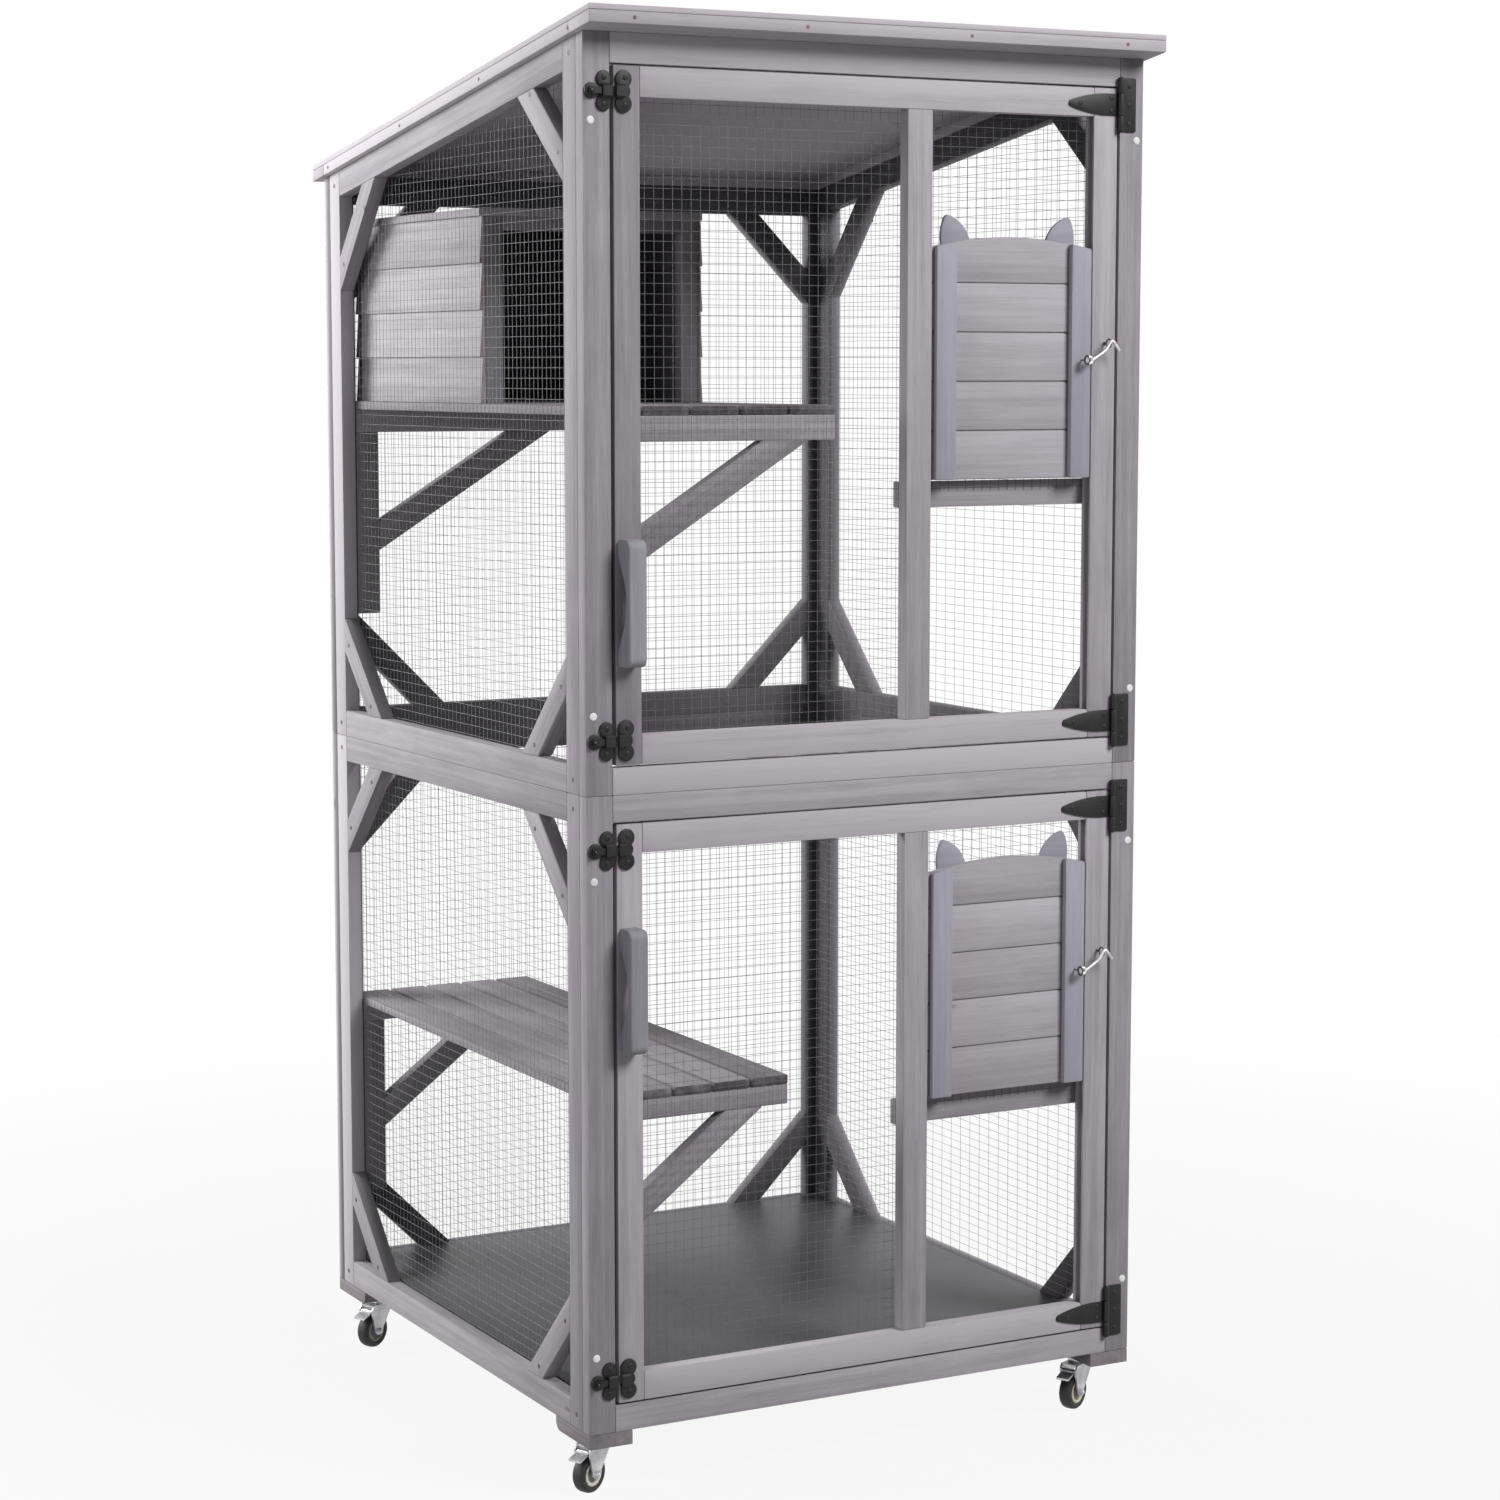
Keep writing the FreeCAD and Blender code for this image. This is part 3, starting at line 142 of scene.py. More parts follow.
class Graph:
    """A material's nodes, written as Python expressions."""

    def __init__(self, name: str) -> None:
        """Start a material with its one principled shader."""
        self.material = bpy.data.materials.new(name)
        self.material.use_nodes = True
        self.tree = self.material.node_tree
        self.shader = self.tree.nodes["Principled BSDF"]

    def add(self, kind: str, settings: dict, sockets: dict, output: Union[int, str] = 0) -> Signal:
        """Add any node.

        Args:
            kind: The node's type.
            settings: Its own properties, set first.
            sockets: Values or signals by socket name or place.
            output: Which output to return.

        Returns:
            The chosen output.
        """
        node = self.tree.nodes.new(kind)
        for key, item in settings.items():
            setattr(node, key, item)
        for key, item in sockets.items():
            feed(self.tree, node.inputs[key], item)
        return Signal(self.tree, node.outputs[output])

    def attribute(self, name: str, output: str = "Fac") -> Signal:
        """Read a value that the mesh carries at its points."""
        return self.add("ShaderNodeAttribute", {"attribute_name": name}, {}, output)

    def place(self) -> Signal:
        """Read the object coordinates."""
        return self.add("ShaderNodeTexCoord", {}, {}, "Object")

    def scaled(self, vector: Signal, factors: Place) -> Signal:
        """Stretch a coordinate along its three directions."""
        return self.add("ShaderNodeVectorMath", {"operation": "MULTIPLY"}, {0: vector, 1: factors})

    def lit(self, colour: Signal, factor: Signal) -> Signal:
        """Make a colour lighter or darker by a factor."""
        return self.add("ShaderNodeVectorMath", {"operation": "SCALE"}, {0: colour, "Scale": factor})

    def noise(
        self, vector: Signal, scale: float, detail: float, rough: float, warp: float = 0.0
    ) -> Signal:
        """Add cloudy noise.

        Args:
            vector: The coordinate.
            scale: Blobs for each unit of length.
            detail: Octaves.
            rough: Weight of the finer octaves.
            warp: Distortion.

        Returns:
            A value from 0 to 1.
        """
        sockets = {"Vector": vector, "Scale": scale, "Detail": detail, "Roughness": rough}
        return self.add("ShaderNodeTexNoise", {}, {**sockets, "Distortion": warp})

    def mapped(
        self, item: Signal, low: float, high: float, to_low: float = 0.0, to_high: float = 1.0
    ) -> Signal:
        """Carry a range smoothly onto another, clamped at its ends.

        Args:
            item: The value.
            low: Start of its range.
            high: End of its range.
            to_low: Result at the start.
            to_high: Result at the end.

        Returns:
            The mapped value.
        """
        sockets = {"Value": item, "From Min": low, "From Max": high, "To Min": to_low, "To Max": to_high}
        return self.add("ShaderNodeMapRange", {"interpolation_type": "SMOOTHSTEP"}, sockets)

    def blend(self, factor: Value, first: object, second: object) -> Signal:
        """Mix two colours.

        Args:
            factor: Share of the second.
            first: A colour or signal.
            second: A colour or signal.

        Returns:
            The mixed colour.
        """
        settings = {"data_type": "RGBA", "blend_type": "MIX"}
        return self.add("ShaderNodeMix", settings, {0: factor, 6: first, 7: second}, 2)

    def bump(self, height: Signal, strength: float, depth: float) -> Signal:
        """Turn a height into a bumped normal, depth in millimetres."""
        sockets = {"Height": height, "Strength": strength, "Distance": depth * MM}
        return self.add("ShaderNodeBump", {}, sockets)

    def dress(self, sockets: dict) -> bpy.types.Material:
        """Feed the shader and return the finished material."""
        for key, item in sockets.items():
            feed(self.tree, self.shader.inputs[key], item)
        return self.material


@dataclass(frozen=True)
class StainedTimber:
    """Fir under a thin grey stain: long grain, fibres, blotches, and bare wood along rubbed edges."""

    name: str
    pale: Colour
    deep: Colour
    bare: Colour
    rubbed: float = 0.5
    board_share: float = 0.14
    knotty: float = 0.84

    def material(self) -> bpy.types.Material:
        """Build the node material on the boards' own grain coordinate."""
        graph = Graph(self.name)
        grain = graph.attribute("grain", "Vector")
        tint = graph.attribute("tint")
        wear = graph.attribute("wear")
        streaks = graph.noise(graph.scaled(grain, (3.4, 130.0, 130.0)), 1.0, 4.0, 0.62, 0.7)
        fibres = graph.noise(graph.scaled(grain, (34.0, 1150.0, 1150.0)), 1.0, 2.0, 0.6)
        blotch = graph.noise(graph.scaled(grain, (8.0, 24.0, 24.0)), 1.0, 3.0, 0.55, 0.4)
        rings = graph.noise(graph.scaled(grain, (1.1, 46.0, 30.0)), 1.0, 2.0, 0.45, 1.6)
        figure = streaks * 0.42 + fibres * 0.3 + rings * 0.3 + blotch * 0.3
        # The tint carries a random tone per board and, where the pieces set shades or darken the inside,
        # painted light and painted shade; it shifts the mix here and scales the colour below.
        tone = figure + tint * self.board_share
        middle = 0.66 + 0.5 * self.board_share
        colour = graph.blend(graph.mapped(tone, middle - 0.27, middle + 0.27), self.deep, self.pale)
        colour = graph.lit(colour, 0.95 + 0.1 * tint)
        knot = self.knots(graph, grain)
        colour = graph.blend(knot * 0.6, colour, srgb(104, 84, 84))
        rub = graph.mapped(wear * 0.6 + blotch * 0.75 + fibres * 0.3, 0.86, 1.2)
        colour = graph.blend(rub * self.rubbed, colour, self.bare)
        height = fibres * 0.7 + rings * 0.35 + streaks * 0.3 - knot * 0.3
        return graph.dress({
            "Base Color": colour,
            "Roughness": 0.58 + 0.2 * fibres + 0.1 * rub,
            "Specular IOR Level": 0.28,
            "Normal": graph.bump(height, 0.3, 0.45),
        })

    def knots(self, graph: Graph, grain: Signal) -> Signal:
        """A few small knots: dark spots at the middle of rare cells, longer along the grain.

        Args:
            graph: The material's nodes.
            grain: The boards' grain coordinate.

        Returns:
            One inside a knot, zero elsewhere.
        """
        settings = {"feature": "F1", "distance": "EUCLIDEAN"}
        sockets = {"Vector": graph.scaled(grain, (9.0, 24.0, 24.0)), "Scale": 1.0}
        away = graph.add("ShaderNodeTexVoronoi", settings, sockets, "Distance")
        lot = graph.add("ShaderNodeTexVoronoi", settings, sockets, "Color")
        chance = graph.add("ShaderNodeSeparateColor", {}, {0: lot}, 0)
        rare = graph.mapped(chance, self.knotty, self.knotty + 0.02)
        return graph.mapped(away, 0.05, 0.12, 1.0, 0.0) * rare


@dataclass(frozen=True)
class CoatedSheet:
    """A smooth painted sheet: faint roller texture, fine dust and scuffs."""

    name: str
    pale: Colour
    deep: Colour
    rough: float = 0.42
    cloud: float = 4.0
    gloss: float = 0.4

    def material(self) -> bpy.types.Material:
        """Build the node material on object coordinates."""
        graph = Graph(self.name)
        place = graph.place()
        clouds = graph.noise(place, self.cloud, 3.0, 0.5, 0.3)
        roller = graph.noise(place, 420.0, 2.0, 0.5)
        rubs = graph.noise(graph.scaled(place, (9.0, 46.0, 30.0)), 1.0, 5.0, 0.65, 0.8)
        scuff = graph.mapped(rubs, 0.6, 0.8)
        colour = graph.blend(graph.mapped(clouds * 0.7 + roller * 0.3, 0.3, 0.7), self.deep, self.pale)
        colour = graph.blend(scuff * 0.18, colour, self.pale)
        return graph.dress({
            "Base Color": colour,
            "Roughness": self.rough + 0.12 * scuff + 0.1 * roller,
            "Specular IOR Level": self.gloss,
            "Normal": graph.bump(roller, 0.12, 0.25),
        })


@dataclass(frozen=True)
class Metal:
    """Plated or painted steel: a fine skin, uneven gloss and darker spots."""

    name: str
    pale: Colour
    deep: Colour
    metallic: float
    rough: float
    skin: float = 700.0
    bumps: float = 0.15
    gloss: float = 0.5

    def material(self) -> bpy.types.Material:
        """Build the node material on object coordinates."""
        graph = Graph(self.name)
        place = graph.place()
        clouds = graph.noise(place, 60.0, 3.0, 0.55)
        skin = graph.noise(place, self.skin, 2.0, 0.5)
        spots = graph.mapped(graph.noise(place, 210.0, 3.0, 0.6), 0.6, 0.72)
        colour = graph.blend(graph.mapped(clouds * 0.7 + skin * 0.3, 0.3, 0.7), self.deep, self.pale)
        colour = graph.blend(spots * 0.35, colour, self.deep)
        return graph.dress({
            "Base Color": colour,
            "Metallic": self.metallic,
            "Specular IOR Level": self.gloss,
            "Roughness": self.rough + 0.16 * clouds + 0.08 * spots,
            "Normal": graph.bump(skin, self.bumps, 0.15),
        })


TIMBER = StainedTimber(
    "grey_stained_fir", srgb(170, 164, 171), srgb(132, 127, 134), srgb(172, 150, 150)
)
BOARD = StainedTimber(
    "grey_stained_board", srgb(178, 173, 180), srgb(151, 146, 153), srgb(132, 124, 128), 0.35, 0.1
)
LAPPED = StainedTimber(
    "grey_lapped_board", srgb(186, 180, 187), srgb(146, 140, 147), srgb(126, 100, 98), 0.8
)
BLOCK = StainedTimber(
    "dark_block", srgb(146, 139, 145), srgb(108, 102, 107), srgb(120, 98, 96), 0.7
)
# The slats' bare colour is far darker than bare fir. It darkens their rounded edges and their worn ends:
# partly darker end grain, partly painted shade in the gaps between the slats.
SLAT = StainedTimber(
    "grey_slat", srgb(154, 148, 155), srgb(106, 101, 107), srgb(62, 54, 57), 0.9, 0.2, 0.8
)
TRIM = StainedTimber(
    "bluish_grey_trim", srgb(162, 160, 170), srgb(142, 140, 150), srgb(150, 144, 148), 0.3, 0.1, 0.97
)
GRIP = StainedTimber(
    "dark_grey_grip", srgb(154, 153, 161), srgb(128, 127, 135), srgb(150, 142, 144), 0.3, 0.1, 0.97
)
FLOOR = CoatedSheet("dark_floor_sheet", srgb(78, 77, 82), srgb(65, 64, 69), 0.36, 4.0, 0.18)
NET = Metal("galvanised_wire", srgb(128, 128, 131), srgb(94, 94, 97), 0.2, 0.45, 900.0, 0.1)
# The doors' nets are the same galvanised wire as the other nets, in a darker colour for the shade on
# them: painted shade.
DOOR_NET = Metal("dark_galvanised_wire", srgb(110, 110, 113), srgb(80, 80, 83), 0.2, 0.5, 900.0, 0.1)
IRON = Metal("black_iron", srgb(28, 27, 29), srgb(14, 13, 15), 0.0, 0.42, 1100.0, 0.28, 0.32)
SCREW = Metal("dark_screw", srgb(86, 66, 68), srgb(50, 37, 39), 0.0, 0.45, 900.0, 0.1)
NAIL = Metal("rusty_nail", srgb(150, 122, 122), srgb(104, 78, 80), 0.0, 0.5, 900.0, 0.2)
DULL = Metal("dull_steel", srgb(112, 106, 108), srgb(64, 60, 62), 0.3, 0.42, 700.0, 0.1)
ZINC = Metal("bright_zinc", srgb(234, 234, 237), srgb(186, 187, 192), 0.55, 0.24, 500.0, 0.06)
RUBBER = Metal("black_tyre", srgb(34, 33, 34), srgb(20, 20, 21), 0.0, 0.5, 900.0, 0.25)
CREAM = Metal("cream_hub", srgb(226, 220, 206), srgb(196, 188, 172), 0.0, 0.4, 600.0, 0.1)
HUB = Metal("grey_hub", srgb(150, 148, 146), srgb(116, 114, 113), 0.0, 0.42, 700.0, 0.12)
CAP = Metal("pale_cap", srgb(236, 235, 234), srgb(212, 210, 208), 0.0, 0.4, 600.0, 0.05)

Finish = Union[StainedTimber, CoatedSheet, Metal]


class Paint:
    """Each finish made once, by name."""

    _made: dict[str, bpy.types.Material] = {}

    @classmethod
    def of(cls, finish: Finish) -> bpy.types.Material:
        """Give a finish's material, building it at first use."""
        if finish.name not in cls._made:
            cls._made[finish.name] = finish.material()
        return cls._made[finish.name]


class Slot(Enum):
    """The record's material slots."""

    TIMBER = "grey_timber"
    NET = "wire_net"
    ROOF = "roof_sheet"
    FLOOR = "floor_sheet"
    IRON = "black_iron"
    ZINC = "zinc_steel"
    CAPS = "pale_caps"
    WHEEL = "caster_wheel"


class Lay(Enum):
    """The plane of a timber's outline: its two directions, then its thickness."""

    FACING = (TO_RIGHT, UPWARD, TO_BACK)
    SIDE = (TO_BACK, UPWARD, TO_RIGHT)


class Along(Enum):
    """The direction in which a straight timber runs."""

    X = 0
    Y = 1
    Z = 2

    @property
    def turned(self) -> tuple[int, int, int]:
        """Numbers of the axes across, thick and along, in right-handed order."""
        return ((self.value + 1) % 3, (self.value + 2) % 3, self.value)

    @property
    def axes(self) -> np.ndarray:
        """The directions across, thick and along."""
        return np.eye(3)[list(self.turned)]


class Storey(Enum):
    """The two frames that stand on each other."""

    LOWER = "lower"
    UPPER = "upper"


class Side(Enum):
    """Left or right, as the sign of X."""

    LEFT = -1.0
    RIGHT = 1.0

    @property
    def word(self) -> str:
        """The side's name in node names."""
        return self.name.lower()

    def span(self, near: float, far: float) -> Span:
        """Bounds in X of what lies between two distances from the middle."""
        low, high = sorted((self.value * near, self.value * far))
        return (low, high)


class Stock:
    """Polygons gathered for one piece, with the values that its finish reads at each point.

    A shade gives all boards one tone, up to a small spread; the shades that the pieces set lighten or
    darken whole boards for the light or shade that falls on them: painted light and painted shade. Where
    inner is set, to an axis and the middle of a frame on it, the points before that middle lie inside
    the
    enclosure and are given a darker tone: painted shade of the dim inside.
    """

    # How much darker the points inside the enclosure are: painted shade.
    inner_painted_shade: float = 6.0
    spread: float = 0.4
    longest_shift: float = 9.0

    def __init__(self) -> None:
        """Start empty."""
        self.points: list[np.ndarray] = []
        self.grain: list[np.ndarray] = []
        self.wear: list[np.ndarray] = []
        self.tint: list[np.ndarray] = []
        self.faces: list[np.ndarray] = []
        self.count = 0
        self.shade: Optional[float] = None
        self.inner: Optional[tuple[int, float]] = None

    def add(
        self,
        points: np.ndarray,
        faces: Sequence[np.ndarray],
        grain: Optional[np.ndarray] = None,
        wear: Optional[np.ndarray] = None,
    ) -> None:
        """Add one closed shape.

        Args:
            points: Places, (n, 3), in millimetres.
            faces: Blocks of polygons, each (k, corners).
            grain: Coordinates along and across the grain, (n, 3); else the places themselves.
            wear: How exposed each point is, 0 to 1.
        """
        total = len(points)
        shift = LOT.uniform(0.0, self.longest_shift, 3)
        lot = LOT.random()
        # A set shade lightens or darkens the whole board for the light that falls on it: painted light
        # and painted shade.
        tint = lot if self.shade is None else self.shade + self.spread * (lot - 0.5)
        self.points.append(points)
        self.grain.append((points if grain is None else grain) * MM + shift)
        self.wear.append(np.zeros(total) if wear is None else wear)
        self.tint.append(np.full(total, tint))
        # Points inside the enclosure are darkened: painted shade of the dim inside.
        if self.inner is not None:
            axis, middle = self.inner
            self.tint[-1][points[:, axis] < middle] -= self.inner_painted_shade
        self.faces.extend(block + self.count for block in faces)
        self.count += total

    def place(
        self,
        name: str,
        body: str,
        slot: Slot,
        finish: Finish,
        nodes: Sequence[str] = (),
        smooth: float = 38.0,
    ) -> None:
        """Make the object at the origin, dress it and let it ride on its body.

        Args:
            name: The piece's name.
            body: The CAD body that carries it.
            slot: The record's material slot.
            finish: Its finish.
            nodes: CAD nodes that it stands for.
            smooth: Edges sharper than this many degrees stay crisp.
        """
        mesh = bpy.data.meshes.new(name)
        rows = [row for block in self.faces for row in block.tolist()]
        mesh.from_pydata((np.concatenate(self.points) * MM).tolist(), [], rows)
        for label, kind, field_name, data in (
            ("grain", "FLOAT_VECTOR", "vector", self.grain),
            ("wear", "FLOAT", "value", self.wear),
            ("tint", "FLOAT", "value", self.tint),
        ):
            layer = mesh.attributes.new(label, kind, "POINT")
            layer.data.foreach_set(field_name, np.concatenate(data).astype(np.float32).ravel())
        mesh.polygons.foreach_set("use_smooth", np.ones(len(mesh.polygons), dtype=bool))
        mesh.set_sharp_from_angle(angle=math.radians(smooth))
        mesh.validate()
        mesh.update()
        piece = bpy.data.objects.new(name, mesh)
        bpy.context.scene.collection.objects.link(piece)
        mesh.materials.append(Paint.of(finish))
        if nodes:
            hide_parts(*nodes)
        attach(piece, body)
        LOG.info("%s: %d faces on %s", name, len(mesh.polygons), body)


def unit(vectors: np.ndarray) -> np.ndarray:
    """Scale one vector, or each row of a table, to length one."""
    return vectors / np.linalg.norm(vectors, axis=-1, keepdims=True)


def square(at: float) -> Cut:
    """A cut straight across at one place."""
    return (at, 0.0, 0.0)


def strip(run: Span, low: Span, high: Span) -> Outline:
    """Corners between a lower and an upper edge, each given at both ends of the run."""
    return [(run[0], low[0]), (run[1], low[1]), (run[1], high[1]), (run[0], high[0])]


def oblong(first: Span, second: Span) -> Outline:
    """Corners of a rectangle between bounds in two directions, counter-clockwise."""
    return strip(first, (second[0], second[0]), (second[1], second[1]))


def both_halves(half: Sequence[Span], total: float) -> Outline:
    """A half profile (along, radius) and its mirror image, whose places add up to a total."""
    return [*half, *((total - along, wide) for along, wide in reversed(half))]


def whole_turn(steps: int, first: Sequence[float], second: Sequence[float]) -> np.ndarray:
    """Points of a circle with radius one.

    Formula: point = cos k * first + sin k * second, with k at even steps of one turn.

    Args:
        steps: Number of points.
        first: Direction of the first point.
        second: Direction a quarter turn later.

    Returns:
        The points, one to a row.
    """
    angle = np.arange(steps) * (2.0 * math.pi / steps)
    return np.cos(angle)[:, None] * np.asarray(first) + np.sin(angle)[:, None] * np.asarray(second)


def drawn_in(corners: np.ndarray, inset: float) -> np.ndarray:
    """Move every side of an outline inward.

    Formula: corner - inset * (m + n) / (1 + m . n), with m and n the outward normals of the two
    sides at the corner.

    Args:
        corners: Counter-clockwise outline, (n, 2).
        inset: Distance.

    Returns:
        The smaller outline.
    """
    step = np.roll(corners, -1, axis=0) - corners
    normal = unit(np.stack([step[:, 1], -step[:, 0]], axis=1))
    before = np.roll(normal, 1, axis=0)
    return corners - inset * (normal + before) / (1.0 + np.sum(normal * before, axis=1))[:, None]


def rounded(corners: np.ndarray, radius: float) -> np.ndarray:
    """Replace each corner by three points of a quadratic arc between its two sides.

    Formula: a = corner towards the last one, b = towards the next, middle = a/4 + corner/2 + b/4.

    Args:
        corners: Outline, (n, 2).
        radius: How far along each side the arc starts; 0 keeps the outline.

    Returns:
        The rounded outline, (3n, 2), or the outline itself.
    """
    if radius <= 0.0:
        return corners
    first = corners + radius * unit(np.roll(corners, 1, axis=0) - corners)
    second = corners + radius * unit(np.roll(corners, -1, axis=0) - corners)
    middle = 0.25 * first + 0.5 * corners + 0.25 * second
    return np.stack([first, middle, second], axis=1).reshape(-1, 2)


def ring_quads(rings: int, sides: int, loop: bool = False) -> np.ndarray:
    """Quads between neighbouring rings of a grid whose sides close on themselves.

    Args:
        rings: Number of rings.
        sides: Points in a ring.
        loop: Whether the last ring joins the first.

    Returns:
        Corner numbers, (k, 4).
    """
    ring, side = np.meshgrid(np.arange(rings if loop else rings - 1), np.arange(sides), indexing="ij")
    near = ring * sides
    far = (ring + 1) % rings * sides
    beside = (side + 1) % sides
    return np.stack([near + side, near + beside, far + beside, far + side], axis=-1).reshape(-1, 4)


def end_caps(rings: int, sides: int) -> np.ndarray:
    """Corner numbers of such a grid's first ring, turned over, and of its last one, (2, sides)."""
    ring = np.arange(sides)
    return np.stack([ring[::-1], ring + (rings - 1) * sides])


def carried(
    stock: Stock,
    corners: Outline,
    axes: Sequence[Sequence[float]],
    start: Cut,
    stop: Cut,
    edge: float = 1.6,
    soft: float = 1.6,
    order: Sequence[int] = (0, 1, 2),
    end: float = 0.3,
) -> None:
    """Carry a closed outline along a straight path and round all its edges.

    Formula: point = u * across + v * thick + t * along, where (u, v) is the outline drawn in by
    the ring's share of the edge, and t is the end cut a + b*u + c*v, moved in by the ring's share
    of the edge.

    Args:
        stock: Where the board goes.
        corners: Outline in (u, v).
        axes: The directions across, thick and along, right-handed.
        start: Cut at the start, (a, b, c).
        stop: Cut at the far end.
        edge: Rounding of the ends.
        soft: Rounding of the long edges.
        order: Which of (along, across, thick) the grain coordinate takes first, second and third.
        end: How worn the cut ends are.
    """
    outline = np.asarray(corners, dtype=float)
    beside = np.roll(outline, -1, axis=0)
    if np.sum(outline[:, 0] * beside[:, 1] - beside[:, 0] * outline[:, 1]) < 0.0:
        outline = outline[::-1]
    across, thick, along = np.asarray(axes, dtype=float)
    loops = np.stack([
        rounded(drawn_in(outline, edge * share), soft * (1.0 - 0.4 * share)) for share in EDGE_SHARES
    ])
    wide, deep = loops[..., 0], loops[..., 1]
    half = len(EDGE_SHARES) // 2
    first = start[0] + wide[:half] * start[1] + deep[:half] * start[2] + edge * DEPTH_SHARES[:half, None]
    last = stop[0] + wide[half:] * stop[1] + deep[half:] * stop[2] - edge * DEPTH_SHARES[half:, None]
    run = np.concatenate([first, last])
    points = wide[..., None] * across + deep[..., None] * thick + run[..., None] * along
    rings, sides = wide.shape
    around = np.tile([0.0, 1.0, 0.0], sides // 3) if soft > 0.0 else np.zeros(sides)
    ends = np.array([end, 1.0, 0.0, 0.0, 1.0, end])
    wear = np.maximum(around[None, :], ends[:, None])
    grain = np.stack([run, wide, deep], axis=-1)[..., list(order)]
    faces = [ring_quads(rings, sides), end_caps(rings, sides)]
    stock.add(points.reshape(-1, 3), faces, grain.reshape(-1, 3), wear.reshape(-1))


def plank(
    stock: Stock,
    x: Span,
    y: Span,
    z: Span,
    along: Along,
    edge: float = 1.6,
    top: Optional[Cut] = None,
    end: float = 0.3,
) -> None:
    """A straight timber between bounds.

    Args:
        stock: Where it goes.
        x: Bounds in X.
        y: Bounds in Y.
        z: Bounds in Z.
        along: The direction of its grain.
        edge: Rounding of its edges.
        top: Cut at its far end, if that isn't square.
        end: How worn its cut ends are.
    """
    spans = (x, y, z)
    across, thick, run = (spans[index] for index in along.turned)
    stop = square(run[1]) if top is None else top
    carried(stock, oblong(across, thick), along.axes, square(run[0]), stop, edge, edge, end=end)


def strut(stock: Stock, quad: Outline, lay: Lay, depth: Span, edge: float = 1.6) -> None:
    """A timber drawn as four corners in a plane, running from its first corner to its second.

    Formula: the grain runs along corner 1 - corner 0; each end is cut by the line through its own
    two corners.

    Args:
        stock: Where it goes.
        quad: Corners at the start, far end, far end and start.
        lay: The plane.
        depth: Bounds through the plane.
        edge: Rounding of its edges.
    """
    basis = np.asarray(lay.value)
    flat = np.asarray(quad, dtype=float)
    points = flat[:, :1] * basis[0] + flat[:, 1:] * basis[1]
    along = unit(points[1] - points[0])
    across = np.cross(basis[2], along)
    wide = points @ across
    run = points @ along
    lean_start = (run[3] - run[0]) / (wide[3] - wide[0])
    lean_stop = (run[2] - run[1]) / (wide[2] - wide[1])
    start = (run[0] - lean_start * wide[0], lean_start, 0.0)
    stop = (run[1] - lean_stop * wide[1], lean_stop, 0.0)
    corners = oblong((wide[0], wide[3]), depth)
    carried(stock, corners, (across, basis[2], along), start, stop, edge, edge)


def turned(
    stock: Stock,
    profile: Outline,
    centre: Sequence[float],
    axis: Sequence[float],
    sides: int = 24,
    loop: bool = False,
) -> None:
    """Turn a profile round an axis.

    Formula: point = centre + s * axis + r * (cos k * a + sin k * b), with (s, r) along the profile
    and k round the axis.

    Args:
        stock: Where it goes.
        profile: Pairs (s, r), with the surface on the outside when s grows.
        centre: The axis's origin.
        axis: Its direction.
        sides: Steps round the axis.
        loop: Whether the profile is closed, as in a tyre; otherwise its ends get flat caps.
    """
    line = np.asarray(profile, dtype=float)
    along = unit(np.asarray(axis, dtype=float))
    first = unit(np.cross(UPWARD if abs(along[2]) < 0.9 else TO_RIGHT, along))
    circle = whole_turn(sides, first, np.cross(along, first))
    points = np.asarray(centre) + line[:, None, :1] * along + line[:, None, 1:] * circle
    faces = [ring_quads(len(line), sides, loop)]
    if not loop:
        faces.append(end_caps(len(line), sides))
    stock.add(points.reshape(-1, 3), faces)


def bent_wire(
    stock: Stock,
    path: np.ndarray,
    normal: Sequence[float],
    radius: float,
    sides: int,
    closed: bool = False,
) -> None:
    """Carry a circle along a path that lies in one plane.

    Formula: point = path + r * (cos k * n - sin k * normal), with n = normal x tangent at each
    place of the path.

    Args:
        stock: Where it goes.
        path: Places, (n, 3).
        normal: The plane's normal.
        radius: The wire's radius.
        sides: Steps round the wire.
        closed: Whether the path is a ring.
    """
    if closed:
        tangent = np.roll(path, -1, axis=0) - np.roll(path, 1, axis=0)
    else:
        tangent = np.gradient(path, axis=0)
    flat = np.asarray(normal, dtype=float)
    beside = np.cross(flat, unit(tangent))
    turn = whole_turn(sides, (1.0, 0.0), (0.0, 1.0))
    ring = turn[None, :, :1] * beside[:, None, :] - turn[None, :, 1:] * flat
    points = path[:, None, :] + radius * ring
    faces = [ring_quads(len(path), sides, closed)]
    if not closed:
        faces.append(end_caps(len(path), sides))
    stock.add(points.reshape(-1, 3), faces)


def straight_wires(
    stock: Stock, starts: np.ndarray, ends: np.ndarray, radius: float, sides: int = 5
) -> None:
    """Many parallel wires at once.

    Formula: point = start or end + r * (cos k * a + sin k * b), with a and b square to the wires'
    one direction.

    Args:
        stock: Where they go.
        starts: Near ends, (n, 3).
        ends: Far ends, (n, 3).
        radius: The wires' radius.
        sides: Flats round each wire.
    """
    along = unit(ends[0] - starts[0])
    first = unit(np.cross(along, SKEW))
    ring = radius * whole_turn(sides, first, np.cross(along, first))
    points = np.stack([starts, ends], axis=1)[:, :, None, :] + ring
    base = (np.arange(len(starts)) * 2 * sides)[:, None, None]
    quads = (ring_quads(2, sides)[None, :, :] + base).reshape(-1, 4)
    caps = (end_caps(2, sides)[None, :, :] + base).reshape(-1, sides)
    stock.add(points.reshape(-1, 3), [quads, caps])


